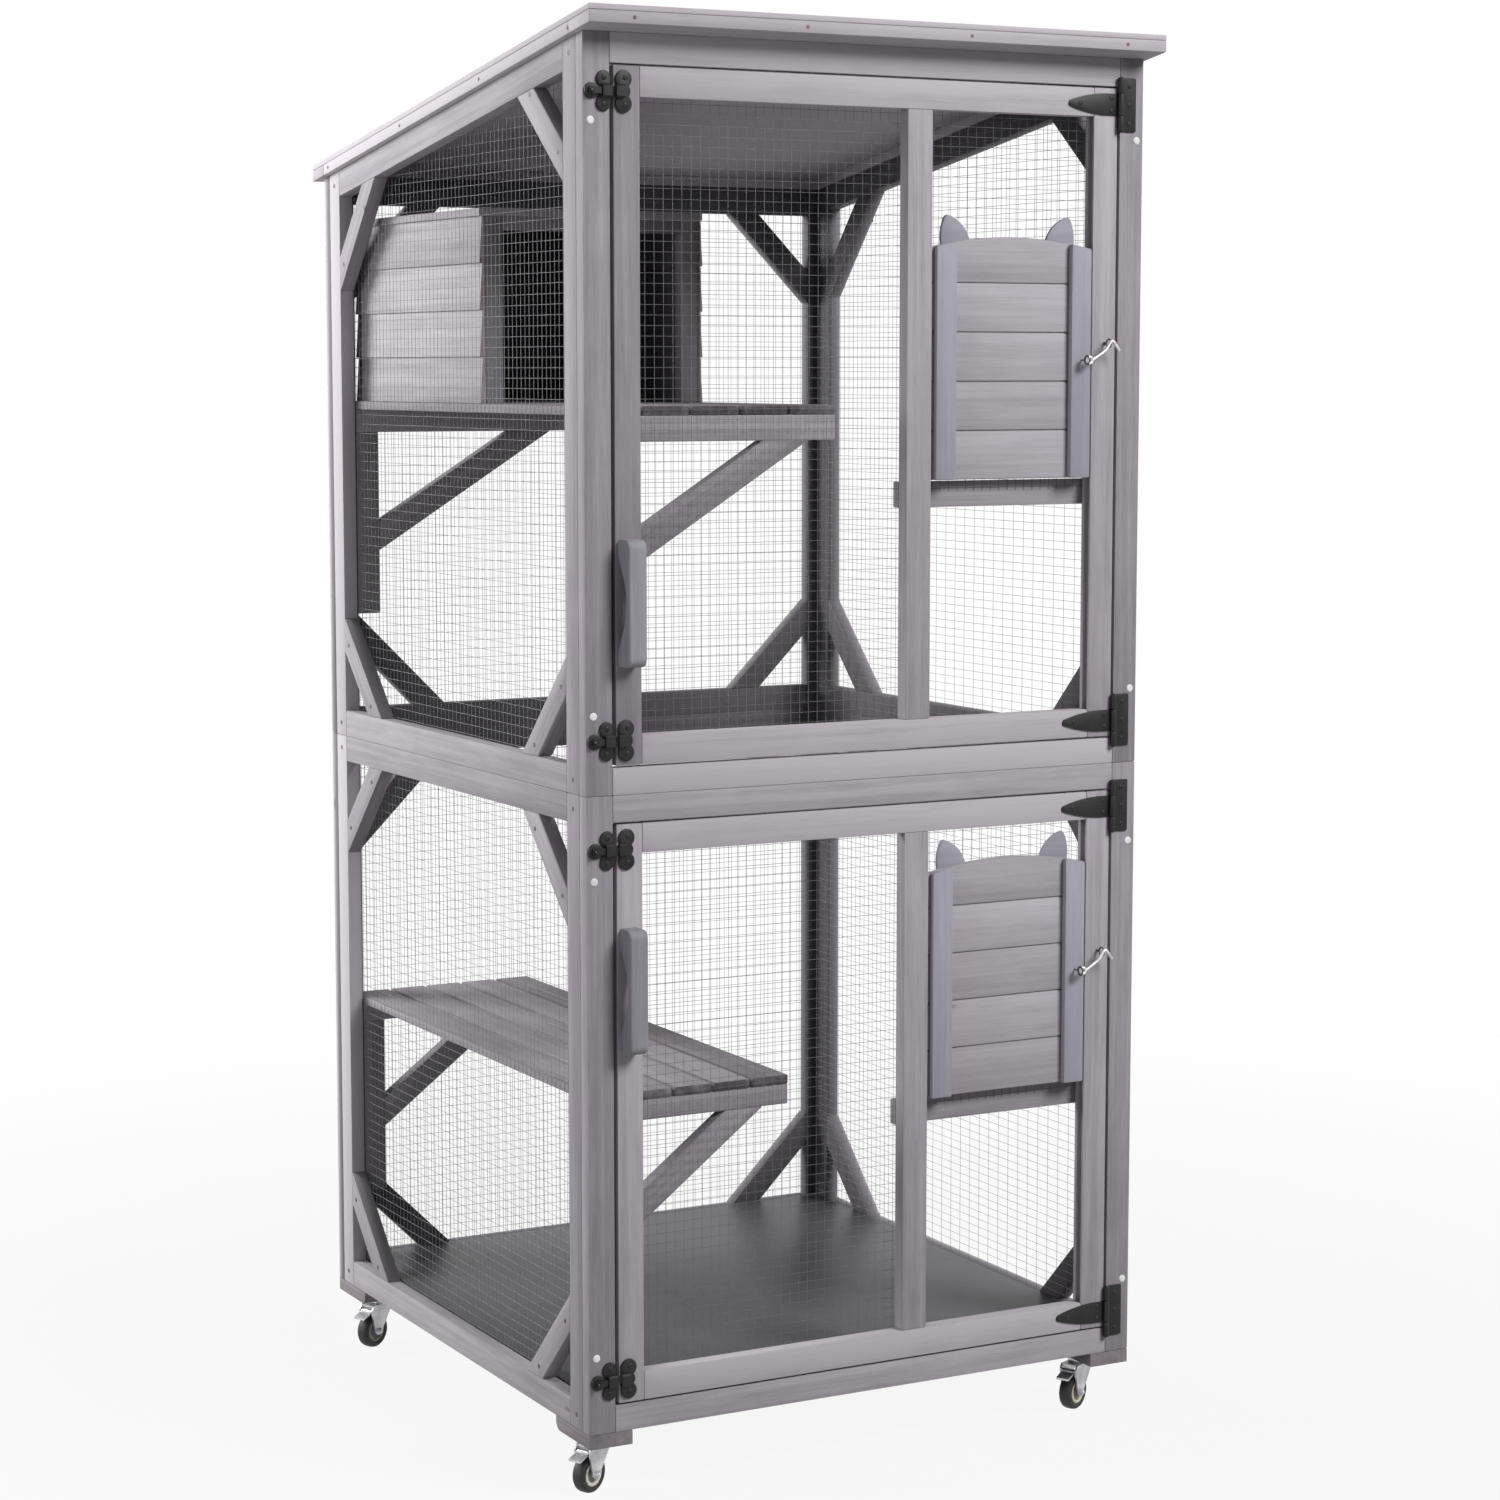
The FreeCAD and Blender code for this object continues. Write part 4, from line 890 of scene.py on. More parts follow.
def arc(start: Sequence[float], stop: Sequence[float], rise: float, steps: int) -> np.ndarray:
    """Points of a circular arc that bulges to the right of its chord.

    Formula: centre at chord middle + (rise - R) outward, R = chord^2 / (8 rise) + rise / 2, swept
    evenly.

    Args:
        start: First point, (x, y).
        stop: Last point, left out of the result.
        rise: Height over the chord; negative bulges to the left.
        steps: Number of points.

    Returns:
        Places from the start up to just before the stop, (steps, 2).
    """
    first = np.asarray(start, dtype=float)
    last = np.asarray(stop, dtype=float)
    length = np.linalg.norm(last - first)
    chord = (last - first) / length
    outward = np.array([chord[1], -chord[0]]) * math.copysign(1.0, rise)
    tall = abs(rise)
    radius = length * length / (8.0 * tall) + tall / 2.0
    centre = (first + last) / 2.0 + outward * (tall - radius)
    half = math.asin(min(1.0, length / (2.0 * radius)))
    if tall > radius:
        half = math.pi - half
    angle = np.linspace(-half, half, steps + 1)[:-1, None]
    return centre + radius * (np.cos(angle) * outward + np.sin(angle) * chord)


def bends(corners: np.ndarray, steps: int = 48, spread: int = 4) -> np.ndarray:
    """Points of a broken line whose corners are bent round.

    Formula: even samples of the line, carried on past its ends by mirroring, each averaged over
    its neighbours.

    Args:
        corners: The line's corners, (n, 3).
        steps: Number of samples.
        spread: Neighbours on each side that an average takes in.

    Returns:
        The rounded path, (steps, 3).
    """
    run = np.concatenate([[0.0], np.cumsum(np.linalg.norm(np.diff(corners, axis=0), axis=1))])
    at = np.linspace(0.0, run[-1], steps)
    even = np.stack([np.interp(at, run, corners[:, axis]) for axis in range(3)], axis=1)
    before = 2.0 * even[0] - even[spread:0:-1]
    after = 2.0 * even[-1] - even[-2:-2 - spread:-1]
    total = np.cumsum(np.concatenate([np.zeros((1, 3)), before, even, after]), axis=0)
    window = 2 * spread + 1
    return (total[window:] - total[:-window]) / window


def clover(
    centre: Sequence[float], discs: Sequence[Place], steps: int = 72, sharp: float = 8.0
) -> np.ndarray:
    """Outline of several discs melted together.

    Formula: along each ray from the centre, the far crossing d . e + sqrt(r^2 - (d x e)^2) of
    every disc, joined by a soft maximum (the sum of their powers, to the inverse power).

    Args:
        centre: A point that sees the whole outline.
        discs: Offsets from the centre and radii, (x, y, r).
        steps: Number of rays.
        sharp: The power; higher keeps deeper notches.

    Returns:
        Counter-clockwise outline, (steps, 2).
    """
    table = np.asarray(discs, dtype=float)
    ray = whole_turn(steps, (1.0, 0.0), (0.0, 1.0))
    ahead = table[:, :2] @ ray.T
    aside = table[:, :1] * ray[:, 1] - table[:, 1:2] * ray[:, 0]
    inside = table[:, 2:] ** 2 - aside ** 2
    reach = np.where(inside > 0.0, ahead + np.sqrt(np.maximum(inside, 0.0)), 0.0)
    far = (np.maximum(reach, 0.0) ** sharp).sum(axis=0) ** (1.0 / sharp)
    return np.asarray(centre) + far[:, None] * ray


def plate(stock: Stock, outline: Outline, sheet: float, edge: float) -> None:
    """A metal plate on the front: its outline in (X, Z), carried forward from just inside the timber.

    Args:
        stock: Where it goes.
        outline: Its outline.
        sheet: How far it stands before the timber.
        edge: Rounding of its edges.
    """
    seat = 0.4
    carried(stock, outline, UPRIGHT, square(-SITE.front - seat), square(sheet - SITE.front), edge, 0.0)


def dimpled_head(
    stock: Stock,
    centre: Sequence[float],
    axis: Sequence[float],
    radius: float,
    height: float,
    sides: int = 14,
) -> None:
    """A domed fastener head with a dimple for the driver.

    Formula: a turned profile that climbs from the rim to the crown and sinks again inside a third
    of the radius.

    Args:
        stock: Where it goes.
        centre: Middle of the seat.
        axis: Outward direction.
        radius: Radius of the rim.
        height: Height of the crown.
        sides: Steps round the axis.
    """
    profile = [
        (-0.4, radius),
        (0.25 * height, radius),
        (0.7 * height, 0.86 * radius),
        (height, 0.55 * radius),
        (height, 0.34 * radius),
        (0.55 * height, 0.2 * radius),
    ]
    turned(stock, profile, centre, axis, sides)


def knuckle(stock: Stock, x: float, y: float, z: Span, radius: float) -> None:
    """One hinge knuckle: a short upright barrel with eased ends.

    Args:
        stock: Where it goes.
        x: Its axis in X.
        y: Its axis in Y.
        z: Bounds in Z.
        radius: The barrel's radius.
    """
    half = [(0.0, 0.84 * radius), (0.12 * radius, 0.95 * radius), (0.3 * radius, radius)]
    turned(stock, both_halves(half, z[1] - z[0]), (x, y, z[0]), UPWARD, 20)


@dataclass(frozen=True)
class Envelope:
    """The frame's reference planes."""

    half_width: float = 403.0
    front: float = -415.0
    back: float = 431.0
    ground: float = 90.0
    storey: float = 890.0
    eaves: float = 1807.0
    fall: float = 133.0
    thick: float = 20.0
    member: float = 36.0
    sill: float = 33.0
    net: float = 1.2
    door_gap: float = 4.0

    @property
    def slope(self) -> float:
        """Fall of the roof for each millimetre of depth."""
        return self.fall / (self.back - self.front)

    @property
    def front_y(self) -> Span:
        """Bounds in Y of the front frames and the doors."""
        return (self.front, self.front + self.thick)

    @property
    def back_y(self) -> Span:
        """Bounds in Y of the back frames."""
        return (self.back - self.thick, self.back)

    @property
    def side_y(self) -> Span:
        """Bounds in Y of the side frames, which stand between the front and the back ones."""
        return (self.front_y[1], self.back_y[0])

    @property
    def inner_x(self) -> float:
        """Half width between the side nets."""
        return self.half_width - self.thick - self.net

    @property
    def inner_back(self) -> float:
        """Depth of the back net's face."""
        return self.back - self.thick - self.net

    @property
    def window_x(self) -> float:
        """Half width between the posts."""
        return self.half_width - self.member

    @property
    def door_edge(self) -> float:
        """Half width of a door."""
        return self.window_x - self.door_gap

    def base(self, storey: Storey) -> float:
        """Underside of a storey."""
        return self.ground if storey is Storey.LOWER else self.storey

    def top(self, storey: Storey, y: float) -> float:
        """Top of a storey at a depth."""
        return self.storey if storey is Storey.LOWER else self.eaves - self.slope * (y - self.front)

    def tops(self, storey: Storey, y: Span) -> Span:
        """Top of a storey at two depths."""
        return (self.top(storey, y[0]), self.top(storey, y[1]))

    def cut(self, storey: Storey) -> Cut:
        """End cut of an upright whose thickness runs in Y."""
        if storey is Storey.LOWER:
            return square(self.storey)
        return (self.eaves + self.slope * self.front, 0.0, -self.slope)


SITE = Envelope()


def post(stock: Stock, storey: Storey, x: Span, y: Span) -> None:
    """An upright from a storey's underside to its top, which may be sloped."""
    plank(stock, x, y, (SITE.base(storey), 0.0), Along.Z, top=SITE.cut(storey))


def cross_rail(stock: Stock, section: Outline, reach: float) -> None:
    """A rail whose section in (Y, Z) is carried as far to the left as to the right."""
    carried(stock, section, Along.X.axes, square(-reach), square(reach))


@dataclass
class FrontFrame:
    """Two posts, a sill and a head rail round one door."""

    storey: Storey
    fit: float = 0.8
    # The shades stand in for light: the sills and heads are lightened against the shadow of the roof's
    # overhang and the dimmer lower storey, as painted light, and the posts get a darker tone.
    post_shade: float = 0.0
    lower_shade: float = 1.0
    upper_shade: float = 2.0

    def build(self) -> None:
        """Make the four timbers and stand them for the CAD frame."""
        lower = self.storey is Storey.LOWER
        stock = Stock()
        y = SITE.front_y
        base = SITE.base(self.storey)
        inner = SITE.window_x
        stock.shade = self.post_shade
        for side in Side:
            post(stock, self.storey, side.span(inner, SITE.half_width), y)
        stock.shade = self.lower_shade if lower else self.upper_shade
        plank(stock, (-inner, inner), y, (base, base + SITE.sill + self.fit), Along.X)
        tops = SITE.tops(self.storey, y)
        low = tops[0] - (SITE.sill if lower else SITE.member) - self.fit
        cross_rail(stock, strip(y, (low, low), tops), inner)
        node = self.storey.value + "_front_frame"
        stock.place(node + "_timbers", "enclosure", Slot.TIMBER, TIMBER, [node])


@dataclass
class BracedFrame:
    """Shared drawing of the side and back frames' corner braces."""

    storey: Storey
    brace_leg: float = 84.0
    brace_width: float = 48.0

    def braces(self, stock: Stock, across: Span, head: Span, lay: Lay, depth: Span) -> None:
        """Four diagonal braces in a window's corners.

        Args:
            stock: Where they go.
            across: The window's two sides.
            head: Height of the window's head at those sides.
            lay: The frame's plane.
            depth: Bounds through the frame.
        """
        sill = SITE.base(self.storey) + SITE.member
        leg = self.brace_leg
        outer = leg + self.brace_width
        lean = (head[1] - head[0]) / (across[1] - across[0])
        for side, sense, top in ((across[0], 1.0, head[0]), (across[1], -1.0, head[1])):
            near = side + sense * leg
            far = side + sense * outer
            low = [(side, sill + leg), (near, sill), (far, sill), (side, sill + outer)]
            strut(stock, low, lay, depth)
            top_near = top + lean * sense * leg
            top_far = top + lean * sense * outer
            high = [(side, top - outer), (far, top_far), (near, top_near), (side, top - leg)]
            strut(stock, high, lay, depth)


@dataclass
class SideFrame(BracedFrame):
    """Stiles, rails and braces of one side."""

    side: Side = Side.LEFT
    # The shades stand in for the side light: the left frame's rear stile is lightened as painted light;
    # the front stiles and the right frame's rear stile are darkened as painted shade.
    front_shade: float = -0.2
    left_rear_shade: float = 2.8
    right_rear_shade: float = -0.4

    def build(self) -> None:
        """Make the timbers and stand them for the CAD frame."""
        stock = Stock()
        x = self.side.span(SITE.half_width - SITE.thick, SITE.half_width)
        base = SITE.base(self.storey)
        ends = SITE.side_y
        rear_shade = self.left_rear_shade
        if self.side is Side.RIGHT:
            rear_shade = self.right_rear_shade
            # The right frame's inner faces are darkened: painted shade.
            stock.inner = (0, (x[0] + x[1]) / 2.0)
        for start, shade in ((ends[0], self.front_shade), (ends[1] - SITE.member, rear_shade)):
            stock.shade = shade
            post(stock, self.storey, x, (start, start + SITE.member))
        stock.shade = None
        y = (ends[0] + SITE.member, ends[1] - SITE.member)
        plank(stock, x, y, (base, base + SITE.member), Along.Y)
        tops = SITE.tops(self.storey, y)
        head = (tops[0] - SITE.member, tops[1] - SITE.member)
        strut(stock, strip(y, head, tops), Lay.SIDE, x)
        self.braces(stock, y, head, Lay.SIDE, x)
        node = "{}_{}_frame".format(self.storey.value, self.side.word)
        stock.place(node + "_timbers", "enclosure", Slot.TIMBER, TIMBER, [node])


@dataclass
class BackFrame(BracedFrame):
    """Stiles, rails and braces of the back."""

    # The left stile is lightened for the light from the left, as painted light; the right stile is
    # darkened as painted shade.
    left_shade: float = 2.6
    right_shade: float = -0.4

    def build(self) -> None:
        """Make the timbers and stand them for the CAD frame."""
        stock = Stock()
        y = SITE.back_y
        # The back frame's inner faces are darkened: painted shade.
        stock.inner = (1, (y[0] + y[1]) / 2.0)
        base = SITE.base(self.storey)
        inner = SITE.window_x
        for side, shade in ((Side.LEFT, self.left_shade), (Side.RIGHT, self.right_shade)):
            stock.shade = shade
            post(stock, self.storey, side.span(inner, SITE.half_width), y)
        stock.shade = None
        plank(stock, (-inner, inner), y, (base, base + SITE.member), Along.X)
        tops = SITE.tops(self.storey, y)
        low = tops[1] - SITE.member
        cross_rail(stock, strip(y, (low, low), tops), inner)
        self.braces(stock, (-inner, inner), (low, low), Lay.FACING, y)
        node = self.storey.value + "_back_frame"
        stock.place(node + "_timbers", "enclosure", Slot.TIMBER, TIMBER, [node])


@dataclass
class WireNet:
    """A welded net of upright and level wires in two touching layers."""

    origin: Place
    across: Place
    inward: Place
    pitch_across: float = 12.7
    pitch_up: float = 12.7
    radius: float = 0.28
    second_layer: float = 2.6
    side_room: float = 3.0
    first_level: float = 4.0
    last_level: float = 2.0
    shortest: float = 6.0

    def weave(self, stock: Stock, span: Span, low: float, high: Span) -> None:
        """Lay the wires of one sheet.

        Formula: upright wires at even steps across, each up to the sloped top edge; level wires
        at even steps up, each as far across as the top edge allows.

        Args:
            stock: Where they go.
            span: The sheet's two sides.
            low: Its lower edge.
            high: Its upper edge at the two sides.
        """
        origin = np.asarray(self.origin)
        across = np.asarray(self.across)
        inward = np.asarray(self.inward)
        up = np.asarray(UPWARD)
        lean = (high[1] - high[0]) / (span[1] - span[0])
        count = int((span[1] - span[0] - self.side_room) / self.pitch_across)
        margin = (span[1] - span[0] - count * self.pitch_across) / 2.0
        place = span[0] + margin + np.arange(count + 1) * self.pitch_across
        near = origin + inward * self.radius
        feet = near + place[:, None] * across + low * up
        heads = near + place[:, None] * across + (high[0] + lean * (place - span[0]))[:, None] * up
        straight_wires(stock, feet, heads, self.radius)
        level = np.arange(low + self.first_level, max(high) - self.last_level, self.pitch_up)
        reach = np.full(len(level), span[1])
        if lean < 0.0:
            reach = np.minimum(span[1], span[0] + (high[0] - level) / -lean)
        far = origin + inward * (self.radius * self.second_layer)
        keep = reach - span[0] > self.shortest
        left = far + span[0] * across + level[keep][:, None] * up
        right = far + reach[keep][:, None] * across + level[keep][:, None] * up
        straight_wires(stock, left, right, self.radius)


@dataclass
class PanelNets:
    """The three nets of one storey; a cell is its width and its height."""

    storey: Storey
    margin: float = 8.0
    left_cell: Span = (12.7, 13.0)
    right_cell: Span = (25.4, 11.4)

    def build(self) -> None:
        """Make the left, right and back nets."""
        low = SITE.base(self.storey) + self.margin
        y = (SITE.side_y[0] + self.margin, SITE.side_y[1] - self.margin)
        tops = SITE.tops(self.storey, y)
        high = (tops[0] - self.margin, tops[1] - self.margin)
        face = SITE.half_width - SITE.thick
        for side, cell in ((Side.LEFT, self.left_cell), (Side.RIGHT, self.right_cell)):
            stock = Stock()
            net = WireNet((side.value * face, 0.0, 0.0), TO_BACK, (-side.value, 0.0, 0.0), *cell)
            net.weave(stock, y, low, high)
            node = "{}_{}_mesh".format(self.storey.value, side.word)
            stock.place(node + "_wires", "enclosure", Slot.NET, NET, [node])
        stock = Stock()
        net = WireNet((0.0, SITE.back_y[0], 0.0), TO_RIGHT, TO_FRONT)
        top = SITE.top(self.storey, SITE.back) - self.margin
        net.weave(stock, (-SITE.inner_x, SITE.inner_x), low, (top, top))
        node = self.storey.value + "_back_mesh"
        stock.place(node + "_wires", "enclosure", Slot.NET, NET, [node])


@dataclass
class Roof:
    """Trim strips on the sloped frame tops and one panel over them."""

    side_overhang: float = 9.0
    front_overhang: float = 38.0
    back_overhang: float = 22.0
    trim: float = 15.0
    sheet: float = 7.0
    sheet_edge: float = 1.2
    # The shades lighten the trim and the panel as painted light: the panel's underside against the shade
    # under the roof, and the left strip most, for the light on that side.
    trim_shade: float = 1.8
    left_shade: float = 3.2
    sheet_shade: float = 2.6

    @property
    def reach(self) -> float:
        """Half width over the overhangs."""
        return SITE.half_width + self.side_overhang

    @property
    def y(self) -> Span:
        """Bounds in Y over the overhangs."""
        return (SITE.front - self.front_overhang, SITE.back + self.back_overhang)

    def section(self, y: Span, low: float, high: float) -> Outline:
        """Outline in (Y, Z) of a strip that follows the slope."""
        tops = SITE.tops(Storey.UPPER, y)
        return strip(y, (tops[0] + low, tops[1] + low), (tops[0] + high, tops[1] + high))

    def build(self) -> None:
        """Make the trim and the panel."""
        inner = SITE.half_width - SITE.thick
        stock = Stock()
        stock.shade = self.trim_shade
        for y in ((self.y[0], SITE.side_y[0]), (SITE.side_y[1], self.y[1])):
            cross_rail(stock, self.section(y, 0.0, self.trim), self.reach)
        section = self.section(SITE.side_y, 0.0, self.trim)
        for side, shade in ((Side.LEFT, self.left_shade), (Side.RIGHT, self.trim_shade)):
            stock.shade = shade
            strut(stock, section, Lay.SIDE, side.span(inner, self.reach))
        stock.place("roof_trim_strips", "enclosure", Slot.TIMBER, TIMBER, ["roof_trim"])
        stock = Stock()
        stock.shade = self.sheet_shade
        section = self.section(self.y, self.trim, self.trim + self.sheet)
        strut(stock, section, Lay.SIDE, (-self.reach, self.reach), self.sheet_edge)
        stock.place("roof_panel_sheet", "enclosure", Slot.ROOF, TIMBER, ["roof_panel"])


@dataclass
class Floor:
    """A sheet on four ledgers."""

    level: float = 100.0
    ledger: float = 20.0
    sheet: float = 8.0
    sheet_edge: float = 1.0
    play: float = 1.0
    front_play: float = 4.0

    def build(self) -> None:
        """Make the ledgers and the sheet."""
        stock = Stock()
        z = (self.level, self.level + self.ledger)
        front = SITE.front_y[1]
        x = SITE.inner_x
        back = SITE.inner_back
        plank(stock, (-x, x), (front, front + self.ledger), z, Along.X)
        plank(stock, (-x, x), (back - self.ledger, back), z, Along.X)
        for side in Side:
            span = side.span(x - self.ledger, x)
            plank(stock, span, (front + self.ledger, back - self.ledger), z, Along.Y)
        stock.place("floor_ledger_strips", "enclosure", Slot.TIMBER, TIMBER, ["floor_ledgers"])
        stock = Stock()
        half = x - self.play
        y = (front + self.front_play, back - self.play)
        plank(stock, (-half, half), y, (z[1], z[1] + self.sheet), Along.X, self.sheet_edge)
        stock.place("floor_sheet", "enclosure", Slot.FLOOR, FLOOR, ["floor_panel"])


@dataclass
class SlattedLevel:
    """Slats from front to back on two brackets at the left side."""

    node: str
    top: float
    slat: float
    gap: float
    bar: float
    leg: float
    drop: float
    run: float
    fall: float
    count: int = 5
    thick: float = 12.0
    slat_y: Span = (-391.0, 409.0)
    slat_edge: float = 1.8
    # The slats' ends are fully worn, so they take the dark bare colour: darker end grain and painted
    # shade.
    slat_wear: float = 1.0
    bracket: float = 20.0
    bracket_starts: Span = (-390.0, 376.0)
    on_bar: float = 60.0
    on_leg: float = 41.0
    # The brackets' shades darken them for the dim inside: painted shade.
    bar_shade: float = 0.2
    leg_shade: float = -0.4

    def build(self) -> None:
        """Make the slats and the brackets."""
        z = (self.top - self.thick, self.top)
        left = -SITE.inner_x
        stock = Stock()
        for index in range(self.count):
            start = left + index * (self.slat + self.gap)
            x = (start, start + self.slat)
            plank(stock, x, self.slat_y, z, Along.Y, self.slat_edge, end=self.slat_wear)
        node = self.node + "_slats"
        stock.place(self.node + "_slat_boards", "enclosure", Slot.TIMBER, SLAT, [node])
        right = left + self.count * self.slat + (self.count - 1) * self.gap
        under = z[0] - self.bar
        face = left + self.leg
        foot = under - self.fall
        tip = face + self.run
        quad = [(face, foot), (tip, under), (tip - self.on_bar, under), (face, foot + self.on_leg)]
        stock = Stock()
        for start in self.bracket_starts:
            y = (start, start + self.bracket)
            stock.shade = self.bar_shade
            plank(stock, (left, right), y, (under, z[0]), Along.X)
            stock.shade = self.leg_shade
            plank(stock, (left, face), y, (under - self.drop, under), Along.Z)
            strut(stock, quad, Lay.FACING, y)
        node = self.node + "_brackets"
        stock.place(self.node + "_bracket_timbers", "enclosure", Slot.TIMBER, TIMBER, [node])


@dataclass
class SleepingHouse:
    """Lapped side walls, a plain back, an open front and a flat lid."""

    x: Span = (-370.8, -44.8)
    y: Span = (-35.0, 400.0)
    base: float = 1363.0
    wall: float = 242.0
    lid: float = 10.0
    lid_edge: float = 1.2
    courses: int = 4
    root: float = 8.0
    tip: float = 4.5
    lap_edge: float = 0.9
    lap_wear: float = 0.7
    # Share of the boards' root at which the painted shade on the right wall's inside begins.
    inner_share: float = 0.7
    post: float = 25.0
    post_thick: float = 18.0
    beam: float = 18.0
    back: float = 9.0
    # front_shade darkens the house's front timbers, which stand in shade: painted shade.
    front_shade: float = -0.8

    def lapped_wall(self, stock: Stock, face: float, sense: float) -> None:
        """Boards that grow thinner upward, one on the other.

        Args:
            stock: Where they go.
            face: The wall's outer face.
            sense: Sign of X towards the inside.
        """
        step = self.wall / self.courses
        inner = face + sense * self.root
        upper = face + sense * (self.root - self.tip)
        start, stop = square(self.y[0]), square(self.y[1])
        edge = self.lap_edge
        for course in range(self.courses):
            z = self.base + course * step
            corners = [(z, face), (z, inner), (z + step, inner), (z + step, upper)]
            carried(stock, corners, Along.Y.axes, start, stop, edge, edge, end=self.lap_wear)

    def build(self) -> None:
        """Make the walls, the front and the lid."""
        z = (self.base, self.base + self.wall)
        inner = (self.x[0] + self.root, self.x[1] - self.root)
        stock = Stock()
        self.lapped_wall(stock, self.x[0], 1.0)
        # The right wall's inner faces and the back's front face are darkened for the dark inside of the
        # house: painted shade.
        stock.inner = (0, self.x[1] - self.inner_share * self.root)
        self.lapped_wall(stock, self.x[1], -1.0)
        stock.inner = (1, self.y[1] - self.back / 2.0)
        plank(stock, inner, (self.y[1] - self.back, self.y[1]), z, Along.X)
        stock.place("house_wall_boards", "enclosure", Slot.TIMBER, LAPPED, ["house_walls"])
        stock = Stock()
        stock.shade = self.front_shade
        y = (self.y[0], self.y[0] + self.post_thick)
        opening = (inner[0] + self.post, inner[1] - self.post)
        plank(stock, (inner[0], opening[0]), y, z, Along.Z)
        plank(stock, (opening[1], inner[1]), y, z, Along.Z)
        plank(stock, opening, y, (z[1] - self.beam, z[1]), Along.X)
        stock.place("house_front_timbers", "enclosure", Slot.TIMBER, TIMBER, ["house_front"])
        stock = Stock()
        plank(stock, self.x, self.y, (z[1], z[1] + self.lid), Along.Y, self.lid_edge)
        stock.place("house_lid_sheet", "enclosure", Slot.TIMBER, TIMBER, ["house_top"])


@dataclass
class CatPanel:
    """Tongued boards under an arched one, with two battens and two ears, that slide as one."""

    word: str
    low: float
    board_x: Span = (77.0, 334.0)
    board_y: Span = (-411.0, -402.0)
    board_edge: float = 3.0
    pitch: float = 62.5
    straight: int = 4
    seam: float = 0.4
    tongue: float = 3.0
    tongue_front: float = 3.2
    tongue_back: float = 2.0
    tongue_edge: float = 0.4
    shoulder: float = 292.0
    rise: float = 16.0
    arch_edge: float = 2.0
    battens: tuple[Span, Span] = ((88.5, 118.5), (292.5, 322.5))
    batten_y: Span = (-420.0, -411.0)
    batten_edge: float = 1.8
    ear_foot: float = 278.0
    ear_tip: float = 335.0
    ear_width: float = 44.0
    ear_inset: float = 28.0
    ear_thick: float = 5.0
    ear_edge: float = 1.2
    tip_share: float = 0.24
    brow_share: float = 0.12
    brow_drop: float = 2.75
    inner_bow: float = 44.0 / 6.5
    tip_bow: float = 1.0
    outer_bow: float = 44.0 / 18.0

    def crown(self, x: float) -> float:
        """Height of the arched top edge at a place across, as a circle through the shoulders."""
        half = (self.board_x[1] - self.board_x[0]) / 2.0
        radius = half * half / (2.0 * self.rise) + self.rise / 2.0
        away = x - (self.board_x[0] + half)
        return self.low + self.shoulder + self.rise - radius + math.sqrt(radius * radius - away * away)

    def boards(self, stock: Stock) -> None:
        """The straight boards with their tongues, and the arched one over them."""
        x = self.board_x
        front, back = self.board_y
        tongue_y = (front + self.tongue_front, back - self.tongue_back)
        for index in range(self.straight):
            z = self.low + index * self.pitch
            top = z + self.pitch
            plank(stock, x, self.board_y, (z, top - self.seam), Along.X, self.board_edge)
            tongue_z = (top - self.tongue, top + self.tongue)
            plank(stock, x, tongue_y, tongue_z, Along.X, self.tongue_edge)
        start = self.low + self.straight * self.pitch
        left = (x[0], self.low + self.shoulder)
        right = (x[1], self.low + self.shoulder)
        arch = arc(right, left, self.rise, 20)
        outline = np.concatenate([[(x[0], start), (x[1], start)], arch, [left]])
        ends = (square(-back), square(-front))
        carried(stock, outline, UPRIGHT, ends[0], ends[1], self.arch_edge, 0.0, (1, 2, 0))

    def build(self) -> None:
        """Make the panel and stand it for the CAD one."""
        body = self.word + "_cat_panel"
        stock = Stock()
        self.boards(stock)
        stock.place(body + "_boards", body, Slot.TIMBER, BOARD, [body])
        stock = Stock()
        for left, right in self.battens:
            tops = (self.crown(left), self.crown(right))
            quad = [(left, self.low), (left, tops[0]), (right, tops[1]), (right, self.low)]
            strut(stock, quad, Lay.FACING, self.batten_y, self.batten_edge)
        behind = -self.board_y[1]
        ends = (square(behind - self.ear_thick), square(behind))
        for outline in self.ears():
            carried(stock, outline, UPRIGHT, ends[0], ends[1], self.ear_edge, 0.0, (1, 0, 2))
        stock.place(body + "_battens", body, Slot.TIMBER, TRIM)

    def ears(self) -> list[np.ndarray]:
        """Outlines of the ears: a straight foot, two bowed flanks and a blunt tip.

        Returns:
            The left ear and its mirror image, each (n, 2).
        """
        width = self.ear_width
        foot = self.low + self.ear_foot
        near = self.board_x[0] + self.ear_inset
        far = near + width
        cheek = foot + width / 2.0
        peak = self.low + self.ear_tip
        tip = (near + self.tip_share * width, peak)
        brow = (near + self.brow_share * width, peak - self.brow_drop)
        left = np.concatenate([
            [(near, foot), (far, foot)],
            arc((far, cheek), tip, self.inner_bow, 12),
            arc(tip, brow, self.tip_bow, 4),
            arc(brow, (near, cheek), self.outer_bow, 8),
            [(near, cheek)],
        ])
        right = np.stack([self.board_x[0] + self.board_x[1] - left[:, 0], left[:, 1]], axis=1)
        return [left, right]


